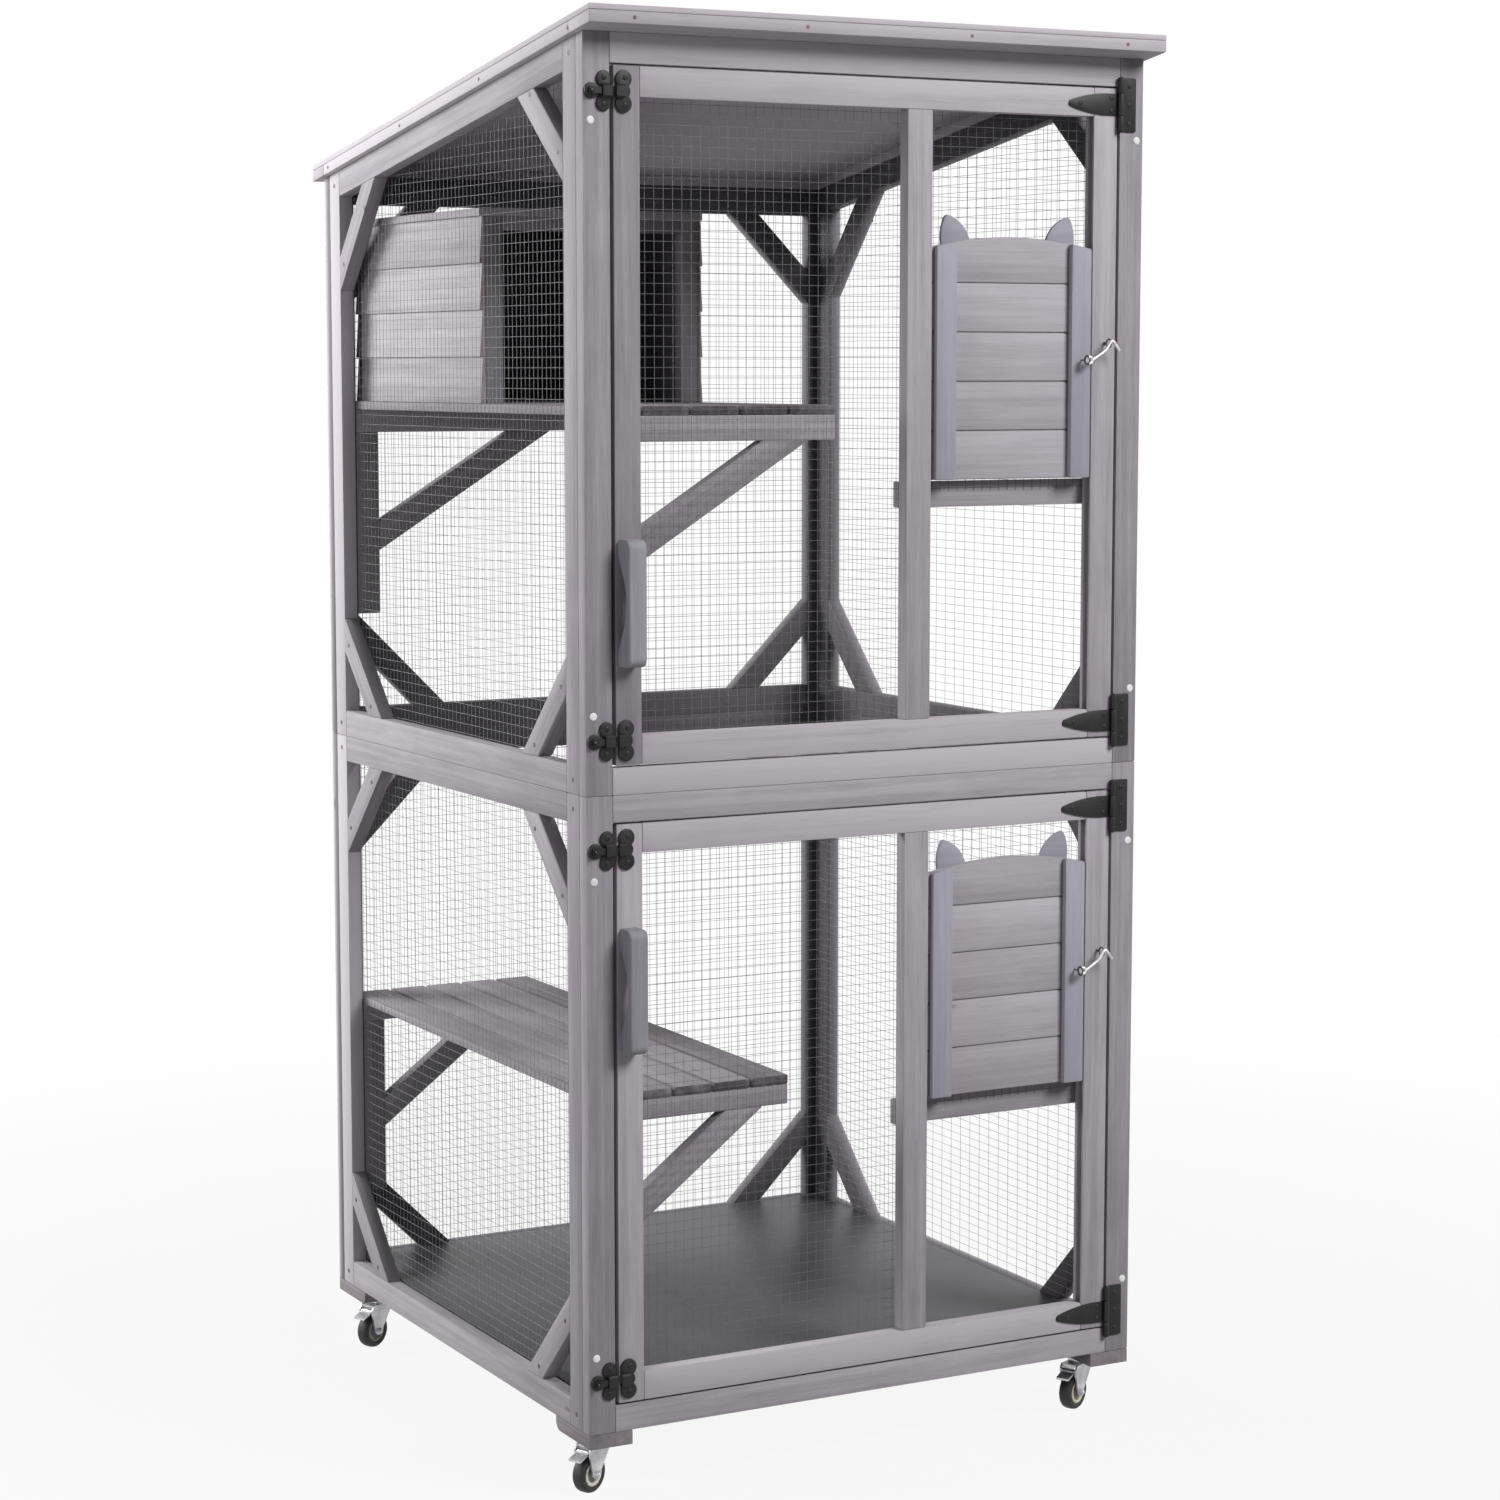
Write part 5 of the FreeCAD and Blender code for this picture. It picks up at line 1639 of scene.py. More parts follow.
@dataclass
class Handle:
    """A bridge handle: rounded ends and front, hollow under the fingers."""

    level: float
    x: float = -346.0
    half_width: float = 12.5
    half_length: float = 77.5
    depth: float = 30.0
    sunk: float = 8.0
    hollow: float = 22.0
    half_wave: float = 84.0
    nose: float = 11.0
    cheek: float = 3.0
    front_round: float = 3.6
    back_round: float = 1.6
    rings: int = 61

    @staticmethod
    def eased(over: np.ndarray, radius: float) -> np.ndarray:
        """Fall of a quarter circle: radius * (1 - sqrt(1 - s * s)), with s the way into it."""
        share = np.clip(over / radius, 0.0, 1.0)
        return radius * (1.0 - np.sqrt(1.0 - share * share))

    def build(self, stock: Stock) -> None:
        """Loft the handle from level rings.

        Formula: ring = four corner arcs (c + r cos k, d + r sin k) between the back and the front
        at that height; the back is a cosine wave from the sunk feet to the hollow, the front and
        the sides fall in quarter circles.

        Args:
            stock: Where it goes.
        """
        run = self.half_length * np.sin(np.linspace(-0.5, 0.5, self.rings) * math.pi)
        away = np.abs(run) - self.half_length
        front = self.depth - self.eased(away + self.nose, self.nose)
        wide = self.half_width - self.eased(away + self.cheek, self.cheek)
        swing = 0.5 + 0.5 * np.cos(math.pi * run / self.half_wave)
        back = (self.hollow + self.sunk) * swing - self.sunk
        loops = []
        for begin, steps in ((0.0, 7), (0.5, 7), (1.0, 3), (1.5, 3)):
            angle = (begin + np.linspace(0.0, 0.5, steps)) * math.pi
            radius = self.front_round if begin < 1.0 else self.back_round
            sense = math.copysign(1.0, math.cos((begin + 0.25) * math.pi))
            across = (wide - radius)[:, None] * sense + radius * np.cos(angle)
            deep = (front - radius if begin < 1.0 else back + radius)[:, None] + radius * np.sin(angle)
            loops.append(np.stack([across, deep], axis=-1))
        ring = np.concatenate(loops, axis=1)[:, ::-1]
        across, deep = ring[..., 0], ring[..., 1]
        tall = np.broadcast_to(run[:, None], across.shape)
        points = np.stack([self.x + across, SITE.front - deep, self.level + tall], axis=-1)
        grain = np.stack([tall, across, deep], axis=-1)
        sides = ring.shape[1]
        faces = [ring_quads(self.rings, sides), end_caps(self.rings, sides)]
        stock.add(points.reshape(-1, 3), faces, grain.reshape(-1, 3))


@dataclass
class Door:
    """One front door: grooved frame, crossbar, two nets and a bridge handle."""

    storey: Storey
    bottom: float
    top: float
    handle_level: float
    member: float = 36.0
    middle: float = 48.0
    groove: float = 8.0
    slot: Span = (-411.5, -401.5)
    stile_edge: float = 1.2
    stile_soft: float = 0.9
    cat_sill: float = 305.0
    crossbar: float = 33.0
    bar_inset: float = 13.0
    bar_thick: float = 13.0
    lap: float = 15.0
    bay_net: float = 20.0
    fit: float = 0.8
    # The shades stand in for light: the rails and stiles are lightened against the shade under the roof
    # and in the lower storey, as painted light; the upper left stile gets a darker tone.
    stile_shade: float = 0.9
    upper_left_shade: float = -0.3
    rail_shade: float = 1.9
    grip_smooth: float = 60.0

    def stile(self, stock: Stock, far: float, edge: float, z: Span) -> None:
        """An upright with a groove for the cat panel in one edge.

        Args:
            stock: Where it goes.
            far: Its plain edge in X.
            edge: Its grooved edge in X.
            z: Bounds in Z.
        """
        y = SITE.front_y
        bed = edge + math.copysign(self.groove, far - edge)
        corners = [(edge, y[0]), (far, y[0]), (far, y[1]), (edge, y[1])]
        corners += [(edge, self.slot[1]), (bed, self.slot[1]), (bed, self.slot[0]), (edge, self.slot[0])]
        ends = (square(z[0]), square(z[1]))
        carried(stock, corners, Along.Z.axes, ends[0], ends[1], self.stile_edge, self.stile_soft)

    def build(self) -> None:
        """Make the frame, the nets and the handle."""
        body = self.storey.value + "_door"
        edge = SITE.door_edge
        y = SITE.front_y
        ends = (self.bottom - self.fit, self.top + self.fit)
        window = (self.bottom + self.member, self.top - self.member)
        bay = (self.middle + self.member, edge - self.member)
        left = self.member - edge
        stock = Stock()
        upper = self.storey is Storey.UPPER
        stock.shade = self.upper_left_shade if upper else self.stile_shade
        plank(stock, (self.fit - edge, left), y, ends, Along.Z)
        stock.shade = self.stile_shade
        self.stile(stock, edge, bay[1], ends)
        self.stile(stock, self.middle, bay[0], window)
        stock.shade = self.rail_shade
        for z in ((ends[0], window[0]), (window[1], ends[1])):
            plank(stock, (left, bay[1]), y, z, Along.X)
        stock.shade = None
        rear = y[1] + SITE.net
        bar = (self.bottom + self.cat_sill, self.bottom + self.cat_sill + self.crossbar)
        bar_x = (self.middle, edge - self.bar_inset)
        plank(stock, bar_x, (rear, rear + self.bar_thick), bar, Along.X)
        stock.place(body + "_timbers", body, Slot.TIMBER, TIMBER, [body + "_frame"])
        stock = Stock()
        net = WireNet((0.0, y[1], 0.0), TO_RIGHT, TO_BACK)
        high = (window[1] + self.lap, window[1] + self.lap)
        net.weave(stock, (left - self.lap, self.middle + self.lap), window[0] - self.lap, high)
        net.weave(stock, (bay[0] - self.lap, bay[1] + self.lap), bar[0] + self.bay_net, high)
        stock.place(body + "_mesh_wires", body, Slot.NET, DOOR_NET, [body + "_mesh"])
        stock = Stock()
        Handle(self.handle_level).build(stock)
        nodes = [body + "_handle"]
        stock.place(body + "_handle_grip", body, Slot.TIMBER, GRIP, nodes, self.grip_smooth)


@dataclass
class TeeHinge:
    """A tee hinge: an upright leaf on the post, a tapered strap on the door and a barrel."""

    level: float
    axis_x: float = 365.0
    axis_y: float = -419.4
    barrel: float = 4.0
    leaf_x: Span = (369.5, 390.5)
    half_leaf: float = 34.5
    leaf_corner: float = 2.4
    half_strap: float = 14.0
    tip_x: float = 291.0
    half_tip: float = 4.5
    tip_rise: float = 4.0
    root_x: float = 343.0
    swell: float = 1.9
    sheet: float = 2.0
    sheet_edge: float = 0.6
    play: float = 0.5
    lap: float = 1.5
    clear: float = 0.2
    curl_edge: float = 0.4
    pin: float = 2.4
    pin_head: float = 0.9
    screw: float = 3.1
    screw_head: float = 1.0
    leaf_screws: Sequence[float] = (-24.0, 0.0, 24.0)
    strap_screws: Sequence[Span] = ((352.0, 8.0), (352.0, -8.0), (304.0, 0.0))

    def screws(self, stock: Stock, places: Sequence[Span]) -> None:
        """Screw heads on the sheet, at places in X and over the hinge's level."""
        for x, rise in places:
            centre = (x, SITE.front - self.sheet, self.level + rise)
            dimpled_head(stock, centre, TO_FRONT, self.screw, self.screw_head)

    def curl(self, stock: Stock, x: Span, z: Span) -> None:
        """One knuckle and the sheet that joins it to its plate.

        Args:
            stock: Where they go.
            x: Bounds of the joining sheet in X.
            z: Bounds of the knuckle in Z.
        """
        knuckle(stock, self.axis_x, self.axis_y, z, self.barrel)
        y = (SITE.front - self.sheet, SITE.front - self.clear)
        plank(stock, x, y, (z[0] + self.play, z[1] - self.play), Along.Z, self.curl_edge)

    def leaf(self, stock: Stock) -> None:
        """The post's leaf, with its two knuckles, the pin's ends and three screws."""
        x = self.leaf_x
        low = self.level - self.half_leaf
        high = self.level + self.half_leaf
        outline = rounded(np.array(oblong(x, (low, high))), self.leaf_corner)
        plate(stock, outline, self.sheet, self.sheet_edge)
        inner = self.half_strap + self.play
        for z in ((low, self.level - inner), (self.level + inner, high)):
            self.curl(stock, (self.axis_x + self.play, x[0] + self.lap), z)
        for end, sense in ((low, -1.0), (high, 1.0)):
            centre = (self.axis_x, self.axis_y, end)
            dimpled_head(stock, centre, (0.0, 0.0, sense), self.pin, self.pin_head)
        self.screws(stock, [((x[0] + x[1]) / 2.0, rise) for rise in self.leaf_screws])

    def strap(self, stock: Stock) -> None:
        """The door's strap, with its knuckle and three screws."""
        z = (self.level - self.half_strap, self.level + self.half_strap)
        tips = ((self.tip_x, self.level + self.half_tip), (self.tip_x, self.level - self.half_tip))
        outline = np.concatenate([
            [(SITE.door_edge, z[0]), (SITE.door_edge, z[1])],
            arc((self.root_x, z[1]), tips[0], self.swell, 8),
            arc(tips[0], tips[1], self.tip_rise, 10),
            arc(tips[1], (self.root_x, z[0]), self.swell, 8),
            [(self.root_x, z[0])],
        ])
        plate(stock, outline, self.sheet, self.sheet_edge)
        self.curl(stock, (SITE.door_edge - self.lap, self.axis_x - self.play), z)
        self.screws(stock, self.strap_screws)


@dataclass
class CloverLatch:
    """A slide latch on lobed plates: a guide on the post and a keeper on the door."""

    level: float
    base_x: float = -376.0
    base_edge: float = -367.0
    base_bow: float = 0.002
    base_lobe: float = 9.5
    base_middle: float = 4.0
    base_screw: float = 15.6
    keeper_x: float = -349.5
    keeper_lobe: float = 10.8
    keeper_waist: float = 9.0
    keeper_screws: Span = (-348.0, 16.1)
    spread: float = 14.6
    nose: float = 16.0
    sheet: float = 3.0
    sheet_edge: float = 0.9
    guide_x: Span = (-380.0, -367.2)
    loop_x: Span = (-362.0, -349.5)
    arch: float = 9.4
    half_arch: float = 8.0
    arch_corner: float = 2.0
    arch_edge: float = 0.5
    sunk: float = 0.6
    half_slot: float = 4.7
    wall: float = 2.0
    screw: float = 3.4
    screw_head: float = 1.1

    def bridge(self, stock: Stock, x: Span) -> None:
        """An arch over the bolt: a U outline in (Y, Z) carried along X.

        Args:
            stock: Where it goes.
            x: Bounds in X.
        """
        foot = SITE.front - self.sheet + self.sunk
        crown = SITE.front - self.arch
        shoulder = crown + self.arch_corner
        under = crown + self.wall
        outer = self.half_arch
        brow = outer - self.arch_corner
        slot = self.half_slot
        outside = [(foot, -outer), (shoulder, -outer), (crown, -brow)]
        outside += [(crown, brow), (shoulder, outer), (foot, outer)]
        inside = [(foot, slot), (under, slot), (under, -slot), (foot, -slot)]
        section = np.array(outside + inside) + np.array([0.0, self.level])
        carried(stock, section, Along.X.axes, square(x[0]), square(x[1]), self.arch_edge, 0.0)

    def heads(self, stock: Stock, x: float, rise: float) -> None:
        """A screw in the upper lobe and one in the lower."""
        for height in (self.level + rise, self.level - rise):
            centre = (x, SITE.front - self.sheet, height)
            dimpled_head(stock, centre, TO_FRONT, self.screw, self.screw_head)

    def lobes(self, radius: float) -> list[Place]:
        """The upper and the lower disc of a plate."""
        return [(0.0, self.spread, radius), (0.0, -self.spread, radius)]

    def base(self, stock: Stock) -> None:
        """The post's plate with three lobes and its guide."""
        lobe = self.base_lobe
        discs = self.lobes(lobe) + [(-self.nose, 0.0, lobe), (self.base_middle, 0.0, lobe)]
        outline = clover((self.base_x, self.level), discs)
        edge = self.base_edge - self.base_bow * np.abs(outline[:, 1] - self.level)
        outline[:, 0] = np.minimum(outline[:, 0], edge)
        plate(stock, outline, self.sheet, self.sheet_edge)
        self.bridge(stock, self.guide_x)
        self.heads(stock, self.base_x, self.base_screw)

    def keeper(self, stock: Stock) -> None:
        """The door's plate with two lobes and its loop."""
        discs = self.lobes(self.keeper_lobe) + [(0.0, 0.0, self.keeper_waist)]
        outline = clover((self.keeper_x, self.level), discs)
        plate(stock, outline, self.sheet, self.sheet_edge)
        self.bridge(stock, self.loop_x)
        self.heads(stock, *self.keeper_screws)


@dataclass
class HookAndEye:
    """A wire hook on the cat panel that lies over an eye in the door."""

    word: str
    low: float
    ring_x: float = 311.5
    ring_y: float = -433.5
    ring_rise: float = 152.0
    ring: float = 4.0
    shank: Sequence[Span] = ((4.0, 0.0), (25.2, 12.4), (35.0, 27.0), (46.0, 12.0))
    wire: float = 2.0
    eye_x: float = 346.5
    eye_y: float = -425.5
    eye_rise: float = 173.5
    eye: float = 5.5
    eye_wire: float = 1.1
    collar: Sequence[Span] = ((-1.0, 2.6), (0.6, 2.6), (1.0, 1.9), (1.4, 1.3))
    ring_steps: int = 28
    wire_sides: int = 12
    smooth: float = 50.0

    def hook(self) -> None:
        """The hook: a ring, a shank that bends upward and a turned-down tip."""
        centre = np.array([self.ring_x, self.ring_y, self.low + self.ring_rise])
        stock = Stock()
        ring = centre + self.ring * whole_turn(self.ring_steps, TO_RIGHT, UPWARD)
        bent_wire(stock, ring, TO_FRONT, self.wire, self.wire_sides, True)
        corners = centre + np.array([(across, 0.0, rise) for across, rise in self.shank])
        bent_wire(stock, bends(corners), TO_FRONT, self.wire, self.wire_sides)
        node = self.word + "_hook"
        stock.place(node + "_wire", node, Slot.ZINC, ZINC, [node], self.smooth)

    def catch(self) -> None:
        """The door's eye: a ring on a screwed shank with a collar."""
        centre = np.array([self.eye_x, self.eye_y, self.low + self.eye_rise])
        stock = Stock()
        ring = centre + self.eye * whole_turn(self.ring_steps, TO_BACK, UPWARD)
        bent_wire(stock, ring, TO_RIGHT, self.eye_wire, self.wire_sides, True)
        profile = [*self.collar, (SITE.front - self.eye_y - self.eye, self.eye_wire)]
        turned(stock, profile, (self.eye_x, SITE.front, centre[2]), TO_FRONT, 16)
        stock.place(self.word + "_catch_eye", self.word + "_door", Slot.ZINC, DULL, (), self.smooth)


@dataclass
class Ironwork:
    """All hinges, latches, hooks and eyes of the two doors, by the door's word."""

    hinge_levels: dict[str, Span]
    latch_levels: dict[str, Span]
    panel_lows: dict[str, float]

    def build(self) -> None:
        """Make the fixed plates once and each door's own fittings."""
        leaves = Stock()
        bases = Stock()
        for word, levels in self.hinge_levels.items():
            body = word + "_door"
            straps = Stock()
            for level in levels:
                TeeHinge(level).leaf(leaves)
                TeeHinge(level).strap(straps)
            for level in self.latch_levels[word]:
                CloverLatch(level).base(bases)
                CloverLatch(level).keeper(straps)
            straps.place(body + "_ironwork", body, Slot.IRON, IRON, [body + "_fittings"])
            fittings = HookAndEye(word, self.panel_lows[word])
            fittings.hook()
            fittings.catch()
        leaves.place("hinge_leaf_plates", "enclosure", Slot.IRON, IRON, ["hinge_leaves"])
        bases.place("latch_base_plates", "enclosure", Slot.IRON, IRON, ["latch_bases"])


@dataclass
class Caster:
    """A braked swivel caster under a timber block; profiles are half ones, (along, radius)."""

    word: str
    swivel: Span
    turn: float = 26.5
    trail: float = 16.0
    wheel_radius: float = 25.0
    fork_face: float = 13.0
    tyre: Sequence[Span] = (
        (-8.0, 16.0), (-8.6, 18.2), (-9.0, 20.6), (-8.3, 22.7), (-6.6, 24.2), (-3.6, 24.95),
    )
    rim: Sequence[Span] = ((-6.4, 11.6), (-8.0, 12.2), (-8.5, 13.2), (-8.5, 15.4), (-8.0, 16.3))
    hub: Sequence[Span] = ((-9.8, 4.6), (-9.8, 6.2), (-8.8, 6.8), (-6.9, 7.6), (-6.6, 11.8))
    nut: Sequence[Span] = ((-0.3, 5.2), (0.5, 5.2), (0.6, 4.3), (3.0, 4.3), (3.5, 3.6))
    stud: Sequence[Span] = ((3.0, 2.2), (4.6, 2.2), (5.0, 1.8))
    nut_smooth: float = 20.0

    def turned_to(self, along: float, across: float) -> np.ndarray:
        """Carry a level direction from the caster's own axes into the frame's.

        Args:
            along: Its share ahead of the caster.
            across: Its share along the axle.

        Returns:
            The direction in (X, Y, Z).
        """
        cosine = math.cos(math.radians(self.turn))
        sine = math.sin(math.radians(self.turn))
        return np.array([along * cosine - across * sine, along * sine + across * cosine, 0.0])

    def build(self) -> None:
        """Make the tyre, the rim, the hub and the axle's nuts, and dress the steel."""
        centre = np.array([*self.swivel, self.wheel_radius]) + self.turned_to(-self.trail, 0.0)
        axle = self.turned_to(0.0, 1.0)
        node = self.word + "_wheel"
        for part, half, sides, loop, finish, nodes in (
            ("_tyre", self.tyre, 56, True, RUBBER, [node]),
            ("_rim", self.rim, 48, True, CREAM, []),
            ("_hub", self.hub, 40, False, HUB, []),
        ):
            stock = Stock()
            turned(stock, both_halves(half, 0.0), centre, axle, sides, loop)
            stock.place(node + part, node, Slot.WHEEL, finish, nodes)
        nuts = Stock()
        for sense in (-1.0, 1.0):
            seat = centre + sense * self.fork_face * axle
            turned(nuts, self.nut, seat, sense * axle, 6)
            turned(nuts, self.stud, seat, sense * axle, 14)
        fork = self.word + "_fork"
        nuts.place(self.word + "_axle_nuts", fork, Slot.ZINC, ZINC, (), self.nut_smooth)
        dress_nodes([fork, self.word + "_pedal"], ZINC)


@dataclass
class CasterBlocks:
    """Four timber blocks under the frame's corners, rounded towards its middle."""

    x: Span = (343.0, 403.0)
    z: Span = (72.0, 90.0)
    long: float = 100.0
    bend: float = 12.0
    bend_rise: float = 0.2929
    edge: float = 1.4

    def build(self) -> None:
        """Carry each rounded outline in (Y, Z) across the block's width."""
        stock = Stock()
        low, high = self.z
        for near, inward in ((SITE.front, 1.0), (SITE.back, -1.0)):
            far = near + inward * self.long
            start = (far - inward * self.bend, low)
            stop = (far, low + self.bend)
            curve = arc(start, stop, inward * self.bend * self.bend_rise, 8)
            outline = np.concatenate([[(near, high), (near, low)], curve, [stop, (far, high)]])
            for side in Side:
                ends = [square(x) for x in side.span(*self.x)]
                carried(stock, outline, Along.X.axes, ends[0], ends[1], self.edge, 0.0, (1, 0, 2))
        stock.place("caster_block_timbers", "enclosure", Slot.TIMBER, BLOCK, ["caster_blocks"])


@dataclass
class Fasteners:
    """Pale caps on the posts, nails along the roof's edge and dark screws in the side frames."""

    cap_x: float = 393.0
    cap_levels: Sequence[float] = (188.0, 785.0, 988.0)
    front_top_cap: float = 1702.0
    back_top_cap: float = 1569.0
    cap: Sequence[Span] = ((-0.5, 5.0), (0.3, 5.0), (0.8, 4.6), (1.1, 3.6), (1.2, 1.8))
    nails: int = 4
    nail_reach: float = 352.0
    nail_run: float = 393.0
    nail: float = 2.5
    nail_head: float = 0.8
    nail_rise: float = 7.5
    screw: float = 3.3
    screw_head: float = 0.5
    beside: float = 14.0
    beyond_leg: float = 10.0
    under_head: float = 20.0
    sides: int = 10

    def caps(self) -> None:
        """Push caps over the post screws, front and back."""
        stock = Stock()
        rows = ((SITE.front, -1.0, self.front_top_cap), (SITE.back, 1.0, self.back_top_cap))
        for side in Side:
            for y, sense, last in rows:
                for level in (*self.cap_levels, last):
                    centre = (side.value * self.cap_x, y, level)
                    turned(stock, self.cap, centre, (0.0, sense, 0.0), 20)
        stock.place("post_screw_caps", "enclosure", Slot.CAPS, CAP, ["frame_screws"])

    def roof_nail(self, stock: Stock, x: float, y: float, outward: Place) -> None:
        """One nail head in the edge of the roof's trim."""
        centre = (x, y, SITE.top(Storey.UPPER, y) + self.nail_rise)
        dimpled_head(stock, centre, outward, self.nail, self.nail_head, self.sides)

    def roof_nails(self) -> None:
        """Nail heads at even steps along the four edges of the roof's trim."""
        stock = Stock()
        roof = Roof()
        for edge, outward in zip(roof.y, (TO_FRONT, TO_BACK)):
            for x in np.linspace(-self.nail_reach, self.nail_reach, self.nails):
                self.roof_nail(stock, x, edge, outward)
        for side in Side:
            for run in np.linspace(-self.nail_run, self.nail_run, self.nails):
                self.roof_nail(stock, side.value * roof.reach, run, (side.value, 0.0, 0.0))
        stock.place("roof_nail_heads", "enclosure", Slot.ZINC, NAIL)

    def corner_screws(self, storey: Storey, end: float, sense: float) -> list[Span]:
        """Places of the screws at one end of a side frame.

        Args:
            storey: The frame's storey.
            end: The frame's end in Y.
            sense: Sign of Y towards the frame's middle.

        Returns:
            Places in (Y, Z).
        """
        half = 0.5 * SITE.member
        stile = end + sense * half
        window = end + sense * SITE.member
        sill = SITE.base(storey) + SITE.member
        head = SITE.top(storey, window) - SITE.member
        beyond = BracedFrame.brace_leg + self.beyond_leg
        near = window + sense * self.beside
        far = window + sense * beyond
        return [
            (stile, sill - half),
            (stile, SITE.top(storey, stile) - half),
            (near, sill + beyond),
            (far, sill + self.beside),
            (near, head - beyond),
            (far, head - self.under_head),
        ]

    def frame_screws(self) -> None:
        """Dark screws at the side frames' corners and at their braces' ends."""
        stock = Stock()
        for side in Side:
            outward = (side.value, 0.0, 0.0)
            for storey in Storey:
                for end, sense in zip(SITE.side_y, (1.0, -1.0)):
                    for y, z in self.corner_screws(storey, end, sense):
                        centre = (side.value * SITE.half_width, y, z)
                        dimpled_head(stock, centre, outward, self.screw, self.screw_head, self.sides)
        stock.place("side_frame_screws", "enclosure", Slot.IRON, SCREW)

    def build(self) -> None:
        """Make all three kinds."""
        self.caps()
        self.roof_nails()
        self.frame_screws()


def dress_nodes(names: Sequence[str], finish: Finish) -> None:
    """Give CAD nodes whose shape is right a better finish.

    Args:
        names: The nodes.
        finish: Their finish.
    """
    for name in names:
        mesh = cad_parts[name].data
        mesh.materials.clear()
        mesh.materials.append(Paint.of(finish))
        LOG.info("%s: CAD solid in %s", name, finish.name)


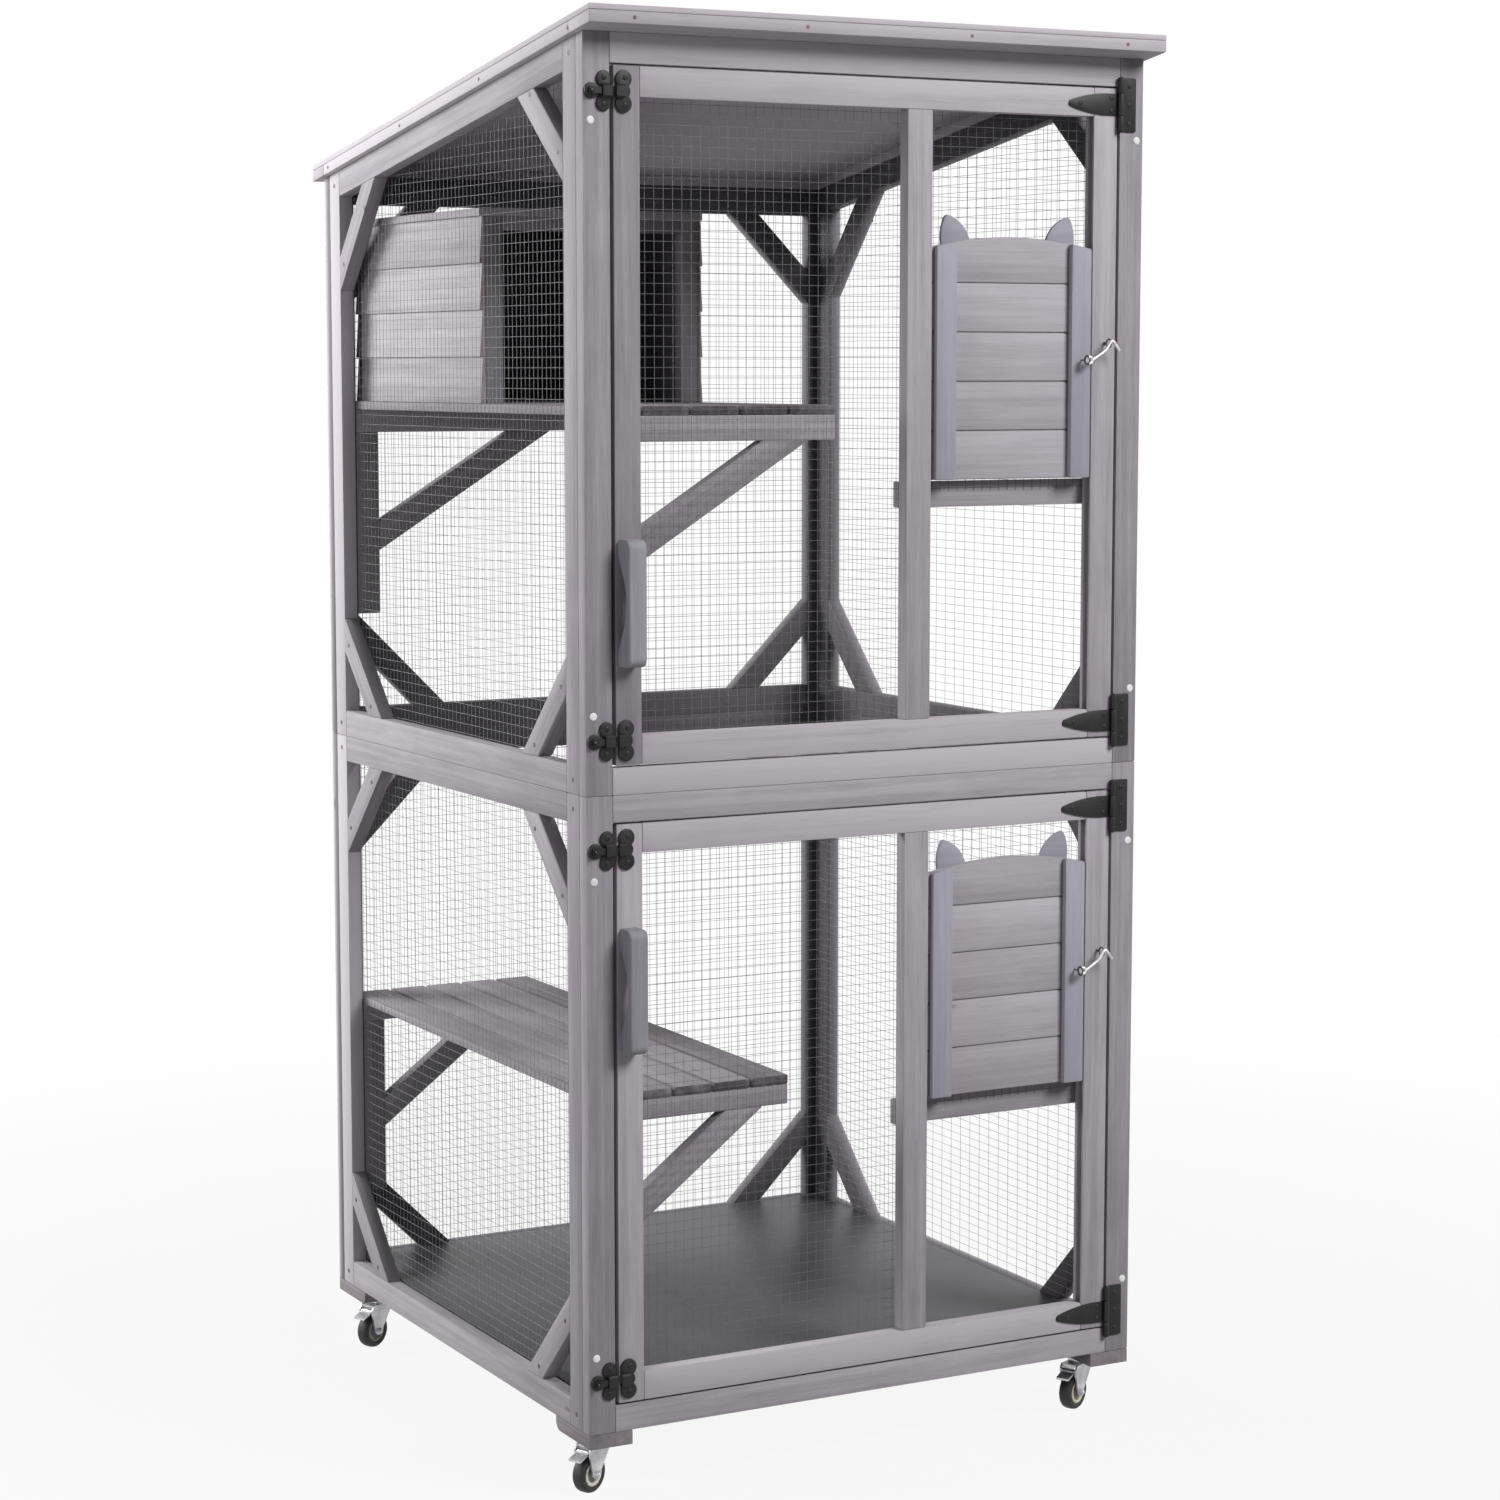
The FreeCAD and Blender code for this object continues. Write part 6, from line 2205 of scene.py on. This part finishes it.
@dataclass
class Studio:
    """Floor, backdrop light, lamps and the camera at the photograph's angle, in metres."""

    floor_half: float = 40.0
    floor_tone: float = 158.0
    fade: Span = (0.9, 3.0)
    near_glow: float = 0.91
    ambient: float = 0.075
    camera_at: Place = (-2.1546, -4.0915, 1.4065)
    pitch: float = -0.1122
    yaw: float = -0.4935
    lens: float = 80.98
    sensor: float = 36.0

    def build(self) -> None:
        """Set the stage."""
        scene = bpy.context.scene
        scene.view_settings.view_transform = "Standard"
        self.floor()
        self.world()
        self.lamp("front_softbox", (3.2, -6.0, 6.0), (0.0, 0.0, 0.9), 3.0, 695.0)
        self.lamp("left_softbox", (-3.3, 2.9, 2.6), (0.0, 0.0, 1.0), 2.4, 262.0)
        self.lamp("side_fill", (-5.0, -1.3, 1.6), (0.0, -0.4, 0.9), 1.4, 44.0)
        camera = bpy.data.cameras.new("photo_camera")
        camera.lens = self.lens
        camera.sensor_width = self.sensor
        view = bpy.data.objects.new("photo_camera", camera)
        view.location = self.camera_at
        view.rotation_euler = (math.pi / 2.0 + self.pitch, 0.0, self.yaw)
        scene.collection.objects.link(view)
        scene.camera = view

    def lamp(self, name: str, at: Place, aim: Place, size: float, watts: float) -> None:
        """One square softbox.

        Args:
            name: Its name.
            at: Its place in metres.
            aim: The point it faces.
            size: Its side.
            watts: Its power.
        """
        data = bpy.data.lights.new(name, "AREA")
        data.shape = "SQUARE"
        data.size = size
        data.energy = watts
        lamp = bpy.data.objects.new(name, data)
        lamp.location = at
        look = np.asarray(aim) - np.asarray(at)
        tilt = math.atan2(math.hypot(look[0], look[1]), -look[2])
        lamp.rotation_euler = (tilt, 0.0, math.atan2(look[1], look[0]) - math.pi / 2.0)
        bpy.context.scene.collection.objects.link(lamp)

    def seen(self, tree: bpy.types.NodeTree) -> Signal:
        """One for camera, glossy and transmission rays, so that they all see the white backdrop."""
        node = tree.nodes.new("ShaderNodeLightPath")
        camera = Signal(tree, node.outputs["Is Camera Ray"])
        glossy = Signal(tree, node.outputs["Is Glossy Ray"])
        through = Signal(tree, node.outputs["Is Transmission Ray"])
        return camera + glossy + through

    def floor(self) -> None:
        """A pale floor that keeps the shadow."""
        reach = (-self.floor_half, self.floor_half)
        mesh = bpy.data.meshes.new("studio_floor")
        mesh.from_pydata([(x, y, 0.0) for x, y in oblong(reach, reach)], [], [(0, 1, 2, 3)])
        piece = bpy.data.objects.new("studio_floor", mesh)
        bpy.context.scene.collection.objects.link(piece)
        graph = Graph("pale_floor")
        tone = srgb(self.floor_tone, self.floor_tone, self.floor_tone)
        graph.dress({"Base Color": tone, "Roughness": 0.9, "Specular IOR Level": 0.0})
        tree = graph.tree
        glow = tree.nodes.new("ShaderNodeEmission")
        mix = tree.nodes.new("ShaderNodeMixShader")
        settings = {"operation": "LENGTH"}
        away = graph.add("ShaderNodeVectorMath", settings, {0: graph.place()}, "Value")
        share = graph.mapped(away, self.fade[0], self.fade[1], self.near_glow, 1.0)
        feed(tree, mix.inputs[0], self.seen(tree) * share)
        tree.links.new(graph.shader.outputs[0], mix.inputs[1])
        tree.links.new(glow.outputs[0], mix.inputs[2])
        tree.links.new(mix.outputs[0], tree.nodes["Material Output"].inputs[0])
        mesh.materials.append(graph.material)

    def world(self) -> None:
        """White behind the object, soft even light on it."""
        world = bpy.data.worlds.new("studio")
        bpy.context.scene.world = world
        world.use_nodes = True
        tree = world.node_tree
        back = tree.nodes["Background"]
        back.inputs[0].default_value = (1.0, 1.0, 1.0, 1.0)
        strength = self.ambient + (1.0 - self.ambient) * self.seen(tree)
        feed(tree, back.inputs[1], strength)


def build_shelves() -> None:
    """Make the two slatted levels and the house on the upper one."""
    SlattedLevel(
        "lower_shelf", top=514.0, slat=51.0, gap=4.5,
        bar=26.0, leg=32.0, drop=249.0, run=205.0, fall=156.0,
    ).build()
    SlattedLevel(
        "upper_platform", top=1363.0, slat=64.0, gap=5.0,
        bar=32.0, leg=34.0, drop=256.0, run=268.0, fall=167.0,
    ).build()
    SleepingHouse().build()


def build_fronts() -> None:
    """Make the doors, their cat panels and all their ironwork."""
    panel_lows = {"lower": 467.0, "upper": 1267.0}
    hinge_levels = {"lower": (147.0, 833.0), "upper": (947.0, 1747.0)}
    latch_levels = {"lower": (157.0, 823.0), "upper": (957.0, 1737.0)}
    Door(Storey.LOWER, bottom=127.0, top=853.0, handle_level=648.0).build()
    Door(Storey.UPPER, bottom=927.0, top=1767.0, handle_level=1125.0).build()
    for word, low in panel_lows.items():
        CatPanel(word, low).build()
    Ironwork(hinge_levels, latch_levels, panel_lows).build()
    for word in panel_lows:
        dress_nodes([word + "_top_bolt", word + "_bottom_bolt"], IRON)
        # The panel's eye takes the darker grey steel, which makes the hole in the hook's ring look dark.
        dress_nodes([word + "_panel_eye"], DULL)


def build_casters() -> None:
    """Make the blocks and the casters under them."""
    half_track = 365.0
    CasterBlocks().build()
    dress_nodes(["caster_plates"], ZINC)
    for row, y in (("front", -355.0), ("back", 371.0)):
        for side in Side:
            Caster("{}_{}".format(row, side.word), (side.value * half_track, y)).build()


def main() -> None:
    """Build every sub-assembly in order."""
    logging.basicConfig(level=logging.INFO, format="%(message)s")
    Studio().build()
    for storey in Storey:
        FrontFrame(storey).build()
        for side in Side:
            SideFrame(storey, side=side).build()
        BackFrame(storey).build()
        PanelNets(storey).build()
    Roof().build()
    Floor().build()
    build_shelves()
    build_fronts()
    Fasteners().build()
    build_casters()


if __name__ == "__main__":
    main()
